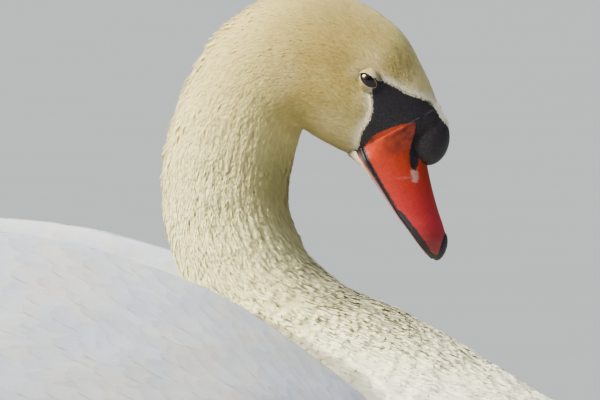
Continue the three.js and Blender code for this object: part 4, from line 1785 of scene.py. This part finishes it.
@dataclass
class Wing:
    """One folded wing, raised a little: its skin, coverts, scapulars and long flight feathers."""

    side: Side
    form: Surface = field(init=False)
    skin: Surface = field(init=False)

    def __post_init__(self) -> None:
        """Works out the outer form, and the skin as a sleeve inside it."""
        rows = np.linspace(0, len(WING) - 1, 261)
        self.form = Surface(self.outer(rows, 160), reach=0.03)
        depth = catmull(WING, rows)[:, 7]
        inset = np.minimum(4.6, 0.3 * depth)[:, None, None]
        self.skin = Surface(self.form.points - self.form.normals * inset, reach=0.03)

    def outer(self, rows: Array, columns: int) -> Array:
        """Points of the outer form.

        Each section is a curve from crest over bulge to lower edge. Going round, the points run down its outer side
        and back up its inner side, which lies inwards by the section's depth, with rounded rims between.

        Args:
            rows: the places of the rows, counting sections.
            columns: points round each.

        Returns:
            Positions in millimetres.
        """
        place, u = np.meshgrid(rows, np.arange(columns) / columns, indexing="ij")
        v = catmull(WING, place)
        crest, bulge, low, depth = v[..., 1:3].copy(), v[..., 3:5], v[..., 5:7], v[..., 7]
        crest[..., 1] += crest_rise(v[..., 0]) * (LEFT_RISE if self.side is Side.LEFT else 1.0)
        t = (1 - np.cos(2 * math.pi * u)) / 2
        tt = t[..., None]
        curve = (1 - tt) ** 2 * crest + 2 * tt * (1 - tt) * bulge + tt**2 * low
        tangent = (1 - tt) * (bulge - crest) + tt * (low - bulge)
        tangent /= np.linalg.norm(tangent, axis=-1, keepdims=True)
        outwards = np.stack([-tangent[..., 1], tangent[..., 0]], -1)
        rim = np.minimum(6 + 0.08 * depth, 0.8 * depth)
        thick = rim + (depth - rim) * np.sin(math.pi * t) ** 0.6
        inner = 0.5 - 0.5 * np.tanh(5 * np.sin(2 * math.pi * u))
        flat = curve - (thick * inner)[..., None] * outwards
        return np.stack([v[..., 0], self.side.value * flat[..., 0], flat[..., 1]], -1)

    def build(self) -> None:
        """Makes every layer of feathers."""
        self.small_feathers()
        self.flights()

    def at_x(self, x: Array) -> Array:
        """Where along the wing a given forward position is."""
        ahead = self.skin.points[..., 0].mean(axis=1)
        return np.interp(-np.asarray(x, dtype=float), -ahead, np.linspace(0, 1, len(ahead)))

    def small_feathers(self) -> None:
        """Scatters coverts and scapulars, small at the front and larger behind."""
        rng = np.random.default_rng(RNG_SEED + 1)
        form = self.form
        rows, columns = form.points.shape[:2]
        stops = [-380, -150, -60, 40, 130, 219]
        x = form.points[..., 0]
        u = np.tile(np.arange(columns) / columns, (rows, 1))
        girth = np.linalg.norm(form.slopes[1], axis=-1)
        rim = np.minimum(np.minimum(u, 1 - u), np.abs(u - 0.5)) * girth
        spacing = np.interp(x, stops, [14, 12, 9.5, 7.5, 6, 4.5])
        spacing = np.where((u < 0.5) & (x < -150), np.inf, np.where(u < 0.5, spacing, spacing * 1.2))
        spacing = spacing * (1 - 0.5 * smoothstep(-rim, -16, -6))
        along, around = scatter(form, spacing, rng)
        root = form.at(along, around)
        n = len(root)
        vary = rng.uniform(0.9, 1.1, (2, n))
        length = np.interp(root[:, 0], stops, [60, 58, 44, 32, 24, 15]) * vary[0]
        width = np.interp(root[:, 0], stops, [26, 25, 21, 16, 13, 8.5]) * vary[1]
        from_rim = form.read(rim[..., None], along, around)[:, 0]
        width = np.minimum(width, 4.5 + 1.4 * from_rim)
        t = (1 - np.cos(2 * math.pi * around)) / 2
        swing = np.where(around < 0.5, 0.10 + np.minimum(1.3 * t**2, 0.65), -0.12) + rng.normal(0, 0.05, n)
        depth = np.minimum(4.6, 0.3 * np.interp(root[:, 0], WING[::-1, 0], WING[::-1, 7]))
        cut = Coat(6, 3, (0.4, 0.85, 1.0, 0.92, 0.68, 0.22), 0.03, 0.7)
        loose = smoothstep(-root[:, 0], -90, 60) * smoothstep(t, 0.12, 0.4) * (around < 0.5)
        tip = depth * (0.84 + 0.10 * loose + rng.uniform(-0.04, 0.04, n) * (1 + loose)) - depth
        tip = mix(-0.34 * depth, tip, smoothstep(from_rim, 2, 12))
        laid = lay(form, cut, along, around, length, width, swing, -0.4 * depth, tip, flow=1.0)
        laid.swell(form, self.fluff)
        # Painted light and shade: coverts on the inner sides, which the far wing turns to the light, are painted
        # brighter and those on the outer sides darker; both ends of each covert are painted darker as shade where the
        # coverts overlap.
        shade = np.where(around > 0.5, 1.34, 0.88) * (1 + rng.normal(0, 0.012, n) * (1 + 2 * loose))
        edge = 1 - np.array([0.03, 0.02, 0, 0, 0.02, 0.06]) * (1.7 - 1.1 * loose)[:, None]
        tint = wing_white(laid.points, 22) * shade[:, None, None, None] * edge[..., None, None]
        uv, finish = np.stack([along, around], -1), PlumageFinish(f"feathers_coverts_{self.side.label}", 0.04)
        finish_coat(f"coverts_{self.side.label}", cut, laid, tint, uv, finish, "wing_feather", 0.025)

    def fluff(self, points: Array, along: Array, around: Array) -> Array:
        """Height of the wing's soft relief: wide swells over the folded feathers, flat at its rims."""
        flat = np.abs(np.sin(2 * math.pi * around)) * smoothstep(points[..., 0], -330, -200)
        return 0.5 * wobble(points * np.array([0.45, 1, 1]), 40, 51) * flat

    def flights(self) -> None:
        """Lays the long feathers in rows, each over the one below it."""
        rng = np.random.default_rng(RNG_SEED + 2)
        cut = Coat(12, 5, (0.35, 0.7, 0.9, 1, 1, 1, 1, 0.98, 0.93, 0.82, 0.6, 0.2), 0.03, 2.0)
        made, places = [], []
        for root_x, end_x, low_end_x, count, width, first, last, lift, rise in (
            (-130, -412, -414, 17, 40, 0.08, 0.985, 0.2, 1.4),
            (-110, -265, -235, 19, 38, 0.06, 0.985, 1.0, 3.2),
            (-104, -205, -180, 26, 29, 0.02, 0.985, 1.6, 3.8),
            (-118, -372, -345, 5, 44, 0.0, 0.09, 2.2, 3.2),
        ):
            t = np.linspace(first, last, count)
            around = np.arccos(np.clip(1 - 2 * t, -1, 1)) / (2 * math.pi)
            along = self.at_x(root_x + rng.uniform(-4, 4, count))
            length = root_x - mix(end_x, low_end_x, t**2) + rng.uniform(-5, 5, count)
            order = np.linspace(1.0, 0.0, count)
            swing = 0.05 * t + rng.normal(0, 0.012, count)
            widths = width * rng.uniform(0.94, 1.06, count)
            lifts = lift + order * 0.8, rise + order * 1.2
            made.append(lay(self.skin, cut, along, around, length, widths, swing, *lifts, flow=1.0).points)
            places.append(np.stack([along, around], -1))
        points = np.concatenate(made)
        # Painted shade: each flight feather is painted darker towards its root, under the coverts.
        tint = wing_white(points, 23) * np.linspace(0.93, 1, 12)[None, :, None, None]
        finish = PlumageFinish(f"feathers_flights_{self.side.label}", barb_scale=60.0, shaft=0.06)
        name, uv = f"flights_{self.side.label}", np.concatenate(places)
        finish_coat(name, cut, Laid(points), tint, uv, finish, "wing_feather")
        self.primaries()

    def primaries(self) -> None:
        """Makes the tips of the primaries, which stand on edge in a stack behind the wing."""
        cut = Coat(12, 5, (0.5, 0.8, 1, 1, 1, 1, 0.98, 0.93, 0.85, 0.7, 0.5, 0.15))
        count, label = 6, self.side.label
        order = np.linspace(0, 1, count)
        root, tip = np.array(PRIMARIES["root"]), np.array(PRIMARIES["tip"])
        roots = root + np.stack([0 * order, 4 * order - 3, -10 * order + 5], -1)
        tips = tip + np.stack([58 * order, 9 * order - 2, -8 * order + 3], -1)
        made = blades(cut, roots, tips, np.full(count, 27.0), np.array([0, 0, 1.0]), np.array([0, 1.0, 0]))
        made[..., 1] *= self.side.value
        uv = np.stack([np.full(count, 0.97), 0.3 + 0.05 * order], -1)
        finish = PlumageFinish(f"feathers_primaries_{label}", barb_scale=60.0, shaft=0.08)
        obj = finish_coat(f"primaries_{label}", cut, Laid(made), wing_white(made, 24), uv, finish, "wing_feather")
        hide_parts(f"wing_{label}_primaries")


def blades(cut: Coat, roots: Array, tips: Array, width: Array, side: Array, lift: Array) -> Array:
    """Makes straight feathers from roots to tips, a little arched.

    Args:
        cut: the feathers' grid and outline.
        roots: where each starts.
        tips: where each ends.
        width: each one's full width.
        side: the direction across the vanes.
        lift: the direction out of the vanes.

    Returns:
        Positions, feather by feather, station by station, column by column.
    """
    t = np.linspace(0, 1, cut.stations)[None, :, None, None]
    h = np.linspace(-0.5, 0.5, cut.columns)[None, None, :, None]
    profile = np.array(cut.profile)[None, :, None, None]
    w = width[:, None, None, None]
    middle = roots[:, None, None] + (tips - roots)[:, None, None] * t
    across = unit(side - (unit(tips - roots) @ side)[:, None] * unit(tips - roots))
    arch = (cut.camber * w * (0.25 - h * h) * 4 + cut.tilt * h) * profile
    return middle + across[:, None, None] * w * profile * h + lift * arch


@dataclass
class Tail:
    """The wedge of tail feathers with the coverts over and under its root."""

    pairs: int = 11
    skin: Surface = field(init=False)

    def __post_init__(self) -> None:
        """Works out the tail's root as a sleeve."""
        self.skin = Surface(self.outer(np.linspace(0, 6, 121), 96, -1.6), reach=0.03)

    def height(self, x: Array, y: Array) -> Array:
        """Height of the fan's middle, which droops to both sides."""
        return np.interp(x, TAIL[::-1, 0], TAIL[::-1, 1]) - TAIL_DROOP * (np.sqrt(y**2 + 16) - 4)

    def outer(self, rows: Array, columns: int, grow: float) -> Array:
        """Points of the tail's outline: flat ellipses that droop to both sides.

        Args:
            rows: the places of the rows, counting sections.
            columns: points round each.
            grow: how much thicker the tail is made, in millimetres.

        Returns:
            Positions in millimetres.
        """
        place, a = rings(rows, columns)
        x, _, half, thick = np.moveaxis(catmull(TAIL, place), -1, 0)
        y = (half + grow * 2) * np.sin(a)
        return np.stack([x, y, self.height(x, y) + np.maximum(thick + grow, 0.3) * np.cos(a)], -1)

    def build(self) -> None:
        """Makes the long feathers and the coverts."""
        self.long_feathers()
        self.coverts()

    def long_feathers(self) -> None:
        """Fans the long feathers out, the middle pair on top and longest."""
        k = np.arange(self.pairs)[::-1]
        reach_y = 5 + 61 * np.sin(k / (self.pairs - 1) * math.pi / 2)
        tip_x = np.interp(reach_y, [5, 29, 56, 66], [-489, -474, -444, -405])
        cut = Coat(12, 5, (0.5, 0.7, 0.85, 0.95, 1, 1, 1, 1, 0.95, 0.82, 0.6, 0.2), 0.05)
        parts = []
        for side in (-1.0, 1.0):
            roots = np.stack([np.full(len(k), -300.0), side * (3 + 2.6 * k), np.zeros(len(k))], -1)
            tips = np.stack([tip_x, side * (reach_y - 3), np.zeros(len(k))], -1)
            widths = np.interp(k, [0, 10], [25, 19])
            made = blades(cut, roots, tips, widths, np.array([0, 1.0, 0]), np.array([0, 0, 1.0]))
            order = (1 - k / self.pairs)[:, None, None]
            made[..., 2] += self.height(made[..., 0], made[..., 1]) - 1.6 + 3.0 * order + 0.25 * side
            parts.append(made)
        made = np.concatenate(parts)
        uv = np.stack([np.full(len(made), 0.02), (np.arange(len(made)) + 0.5) / len(made) * 0.9], -1)
        finish = PlumageFinish("feathers_tail", barb_scale=60.0, shaft=0.07)
        finish_coat("tail_feathers", cut, Laid(made), wing_white(made, 26), uv, finish, "white_feather")

    def coverts(self) -> None:
        """Lays coverts over and under the tail's root."""
        rng = np.random.default_rng(RNG_SEED + 3)
        x = self.skin.points[..., 0]
        along, around = scatter(self.skin, np.where(x > -400, 10.0, np.inf), rng)
        n = len(along)
        cut = Coat(7, 3, (0.4, 0.8, 1, 1, 0.95, 0.75, 0.3), 0.06)
        root_x = self.skin.at(along, around)[:, 0]
        length = np.clip(470 + root_x, 30, 75) * rng.uniform(0.85, 1.1, n)
        lifts = np.full(n, 0.6), rng.uniform(3.2, 4.6, n)
        swing = rng.normal(0, 0.06, n)
        laid = lay(self.skin, cut, along, around, length, np.full(n, 22.0), swing, *lifts, flow=1.0)
        uv, finish = np.stack([along, around], -1), PlumageFinish("feathers_tail_coverts")
        finish_coat("tail_coverts", cut, laid, wing_white(laid.points, 27), uv, finish, "white_feather")


def tube(middle: Array, radius: Array, columns: int) -> Array:
    """A sleeve round a path: rings square to it, each point of them at its own radius.

    Args:
        middle: the path's points.
        radius: radii by ring, or by ring and column.
        columns: points round each ring, from the top.

    Returns:
        Positions by ring and column.
    """
    ahead = unit(np.gradient(middle, axis=0))
    aside = unit(np.cross(ahead, np.array([0, 0, 1.0])))
    up = np.cross(aside, ahead)
    turn = turns(columns)[None, :, None]
    ring = np.cos(turn) * up[:, None] + np.sin(turn) * aside[:, None]
    return middle[:, None] + ring * np.broadcast_to(radius, (len(middle), columns))[..., None]


def plated(radius: Array, run: Array, pitch: float, height: float, columns: int) -> Array:
    """Radii of a tube with plates across its top, which fade out down its sides.

    A plate's height is the size of sin(pi run / pitch), to the power of 0.6.

    Args:
        radius: the tube's radii, ring by ring.
        run: how far along each ring lies, in millimetres.
        pitch: the length of one plate.
        height: how far the plates stand out.
        columns: points round each ring.

    Returns:
        Radii by ring and column.
    """
    top = np.maximum(np.cos(turns(columns)), 0)
    return radius[:, None] + (height * np.abs(np.sin(math.pi * run / pitch)) ** 0.6)[:, None] * top


@dataclass
class Foot:
    """One leg folded under the belly, with its webbed foot flat on the floor."""

    side: Side
    shank: float = 8.0
    toe: float = 5.2
    web: float = 0.9
    hollow: float = 0.12
    floor: float = 0.15

    def build(self, skin: Material) -> None:
        """Makes one skin of the shank, the toes and the webs between them.

        Args:
            skin: what it is made of.
        """
        paths = {toe: self.path(tip) for toe, (tip, _) in TOES.items()}
        sleeves = [self.shank_sleeve(), self.hind_sleeve()]
        sleeves += [self.toe_sleeve(paths[toe], TOES[toe][1]) for toe in TOES]
        sleeves += [self.web_sleeve(paths["inner"], paths["middle"]), self.web_sleeve(paths["middle"], paths["outer"])]
        sleeves = [sleeve * np.array([1, self.side.value, 1]) for sleeve in sleeves]
        maps, count = [], len(sleeves)
        for number, sleeve in enumerate(sleeves):
            sleeve[..., 2] = np.maximum(sleeve[..., 2], self.floor)
            tile = (0, number / count, 1, 0.95 / count)
            maps.append(sleeve_map(np.linspace(0, 0.98, len(sleeve)), sleeve.shape[1], tile))
        label = self.side.label
        obj, _ = join_sleeves(f"foot_skin_{label}", sleeves, maps)
        dress(obj, "foot_skin", skin, f"leg_{label}", f"foot_{label}")

    def path(self, tip: tuple[float, float, float], rows: int = 260) -> Array:
        """A toe's middle line, from the ankle down to the floor and straight on to its tip.

        Args:
            tip: where the toe ends.
            rows: number of points.

        Returns:
            Positions along the line.
        """
        t = np.linspace(0, 1, rows)[:, None]
        line = mix(np.array(ANKLE), np.array(tip), t)
        line[:, 2] = tip[2] + (ANKLE[2] - tip[2]) * (1 - t[:, 0]) ** 3
        return line

    def toe_sleeve(self, line: Array, knuckles: tuple[float, ...]) -> Array:
        """A toe: a tapering tube, thicker at its knuckles, with plates across its top and a round tip.

        Args:
            line: its middle line.
            knuckles: how far along it each knuckle is.

        Returns:
            Positions by ring and column.
        """
        t = np.linspace(0, 1, len(line))
        radius = self.toe * np.interp(t, [0, 0.08, 0.3, 0.97, 1], [1.25, 1.1, 0.95, 0.72, 0.62])
        for knuckle in knuckles:
            radius += 0.16 * self.toe * np.exp(-(((t - knuckle) / 0.035) ** 2))
        radius *= round_end(t - 0.985, 0.016)
        return tube(line, plated(radius, t * np.linalg.norm(line[-1] - line[0]), 3.4, 0.28, 28), 28)

    def shank_sleeve(self) -> Array:
        """The shank: a tube from the round hock to the ankle, with plates along its top."""
        t = np.linspace(-0.06, 1.03, 160)
        line = mix(np.array(HOCK), np.array(ANKLE), t[:, None])
        radius = self.shank * (0.92 + 0.36 * bell(t, 0.07) + 0.12 * bell(t - 1, 0.08))
        radius *= round_end(0.02 - t, 0.081) * round_end(t - 0.97, 0.061)
        return tube(line, plated(radius, t * 104, 4.2, 0.3, 32), 32)

    def hind_sleeve(self) -> Array:
        """The short hind toe, which ends in a blunt claw."""
        t = np.linspace(0, 1, 60)
        line = mix(np.array([ANKLE[0] - 14, ANKLE[1], 9.0]), np.array(HIND), t[:, None])
        radius = np.interp(t, [0, 0.6, 1], [4.0, 3.4, 2.2]) * round_end(t - 0.9, 0.105)
        return tube(line, radius[:, None], 20)

    def web_sleeve(self, one: Array, other: Array) -> Array:
        """A web: a thin closed sheet between two toes, low in the middle, creased along them and hollow in front.

        Args:
            one: the middle line of one toe.
            other: the middle line of the next.

        Returns:
            Positions by row and column, going over the sheet and back under it.
        """
        columns = 26
        v = np.concatenate([np.linspace(0, 1, columns), np.linspace(1, 0, columns)])
        top = np.repeat([1.0, -1.0], columns)
        u = np.linspace(0.06, 0.93, 120)[:, None] * (1 - self.hollow * 4 * v * (1 - v))[None]
        near, far = (between(u, np.linspace(0, 1, len(line)), line) for line in (one, other))
        sheet = mix(near, far, v[None, :, None])
        crease = 0.28 * np.sin(v * 9 * math.pi)[None] * smoothstep(u, 0.1, 0.5)
        thick = self.web * top[None] * np.interp(u, [0, 0.9], [1, 0.7])
        sheet[..., 2] = 2.2 + 2.2 * np.abs(2 * v - 1)[None] ** 5 + crease + thick
        return sheet


def dress_feet() -> None:
    """Makes the legs and feet with their dark scaly skin, and gives the claws their horn."""
    scaly = PlainFinish("foot_skin", (44, 42, 43), (70, 66, 64), 0.55, 420.0, 0.0006, True).build()
    horn = PlainFinish("claw_horn", (30, 27, 26), (58, 52, 46), 0.35, 900.0, 0.0001).build()
    for side in Side:
        Foot(side).build(scaly)
        for toe in TOES:
            claw = bpy.data.objects[f"claw_{side.label}_{toe}"].data.materials
            claw.clear()
            claw.append(horn)


# ---------------------------------------------------------------- stage


@dataclass(frozen=True)
class Sun:
    """One light of the studio: its strength, its width in degrees, its colour and where it shines from."""

    name: str
    energy: float
    angle: float
    colour: Triple
    towards: Triple

    def build(self) -> None:
        """Makes the light."""
        sun = bpy.data.lights.new(self.name, "SUN")
        sun.energy, sun.angle, sun.color = self.energy, math.radians(self.angle), self.colour
        lamp = bpy.data.objects.new(self.name, sun)
        bpy.context.scene.collection.objects.link(lamp)
        lamp.rotation_mode = "QUATERNION"
        lamp.rotation_quaternion = Vector(self.towards).to_track_quat("Z", "Y")


@dataclass(frozen=True)
class Studio:
    """The camera, a pale floor, a broad warm key light from the back left, a wide cool one overhead, a dim room."""

    aim: Triple = (0.10264, -0.00009, 0.40634)
    distance: float = 4.0
    azimuth: float = 3.0
    elevation: float = 2.8
    framed: float = 0.37037
    floor_radius: float = 45000.0
    suns: tuple[Sun, ...] = (
        Sun("key", 12.0, 22, (1.0, 0.95, 0.86), (-0.70, -0.36, 0.62)),
        Sun("overhead", 6.0, 70, (0.88, 0.94, 1.0), (-0.1, 0.05, 1.0)),
    )

    def camera(self) -> None:
        """Makes the camera: a long lens, a little above the bird's eye level."""
        data = bpy.data.cameras.new("camera")
        camera = bpy.data.objects.new("camera", data)
        bpy.context.scene.collection.objects.link(camera)
        turn, up = math.radians(self.azimuth), math.radians(self.elevation)
        back = Vector((math.sin(turn) * math.cos(up), -math.cos(turn) * math.cos(up), math.sin(up)))
        data.sensor_width = 36.0
        data.lens = data.sensor_width * self.distance / self.framed
        data.clip_start, data.clip_end = 0.1, 200.0
        camera.location = Vector(self.aim) + back * self.distance
        camera.rotation_mode = "QUATERNION"
        camera.rotation_quaternion = (-back).to_track_quat("-Z", "Y")
        bpy.context.scene.camera = camera

    def build(self) -> None:
        """Makes the floor, a flat disc of triangles round its middle, and the lights."""
        a = turns(64)
        points = np.stack([np.cos(a), np.sin(a), 0 * a], -1) * self.floor_radius
        corners = np.arange(64)
        faces = np.stack([corners, (corners + 1) % 64, np.full(64, 64)], -1)
        floor = make_mesh("floor", np.concatenate([points, [[0, 0, 0]]]), np.zeros((0, 4), dtype=int), faces)
        floor.data.materials.append(PlainFinish("floor", (110, 112, 114), (111, 113, 115), 0.95, 2.0, 0.0).build())
        world = bpy.data.worlds.new("studio")
        world.use_nodes = True
        background = world.node_tree.nodes["Background"]
        background.inputs[0].default_value = (0.86, 0.93, 1.0, 1)
        background.inputs[1].default_value = 0.1
        bpy.context.scene.world = world
        for sun in self.suns:
            sun.build()


def main() -> None:
    """Builds every piece in order."""
    studio = Studio()
    studio.camera()
    studio.build()
    swan = Swan()
    wings = [Wing(side) for side in Side]
    tail = Tail()
    tiles = ((0.67, 0.0, 0.32, 0.38), (0.67, 0.4, 0.32, 0.38), (0.67, 0.8, 0.32, 0.19))
    sleeves = [wing.skin.points[::2, ::2] for wing in wings] + [tail.outer(np.linspace(0, 3.4, 60), 64, -1.8)]
    swan.build_skin(list(zip(sleeves, tiles)))
    swan.coat()
    bill = Bill(swan.skin)
    bill.upper()
    bill.lower()
    bill.knob()
    bill.nail()
    Eyes(swan.skin).build()
    for wing in wings:
        wing.build()
    tail.build()
    dress_feet()


if __name__ == "__main__":
    main()
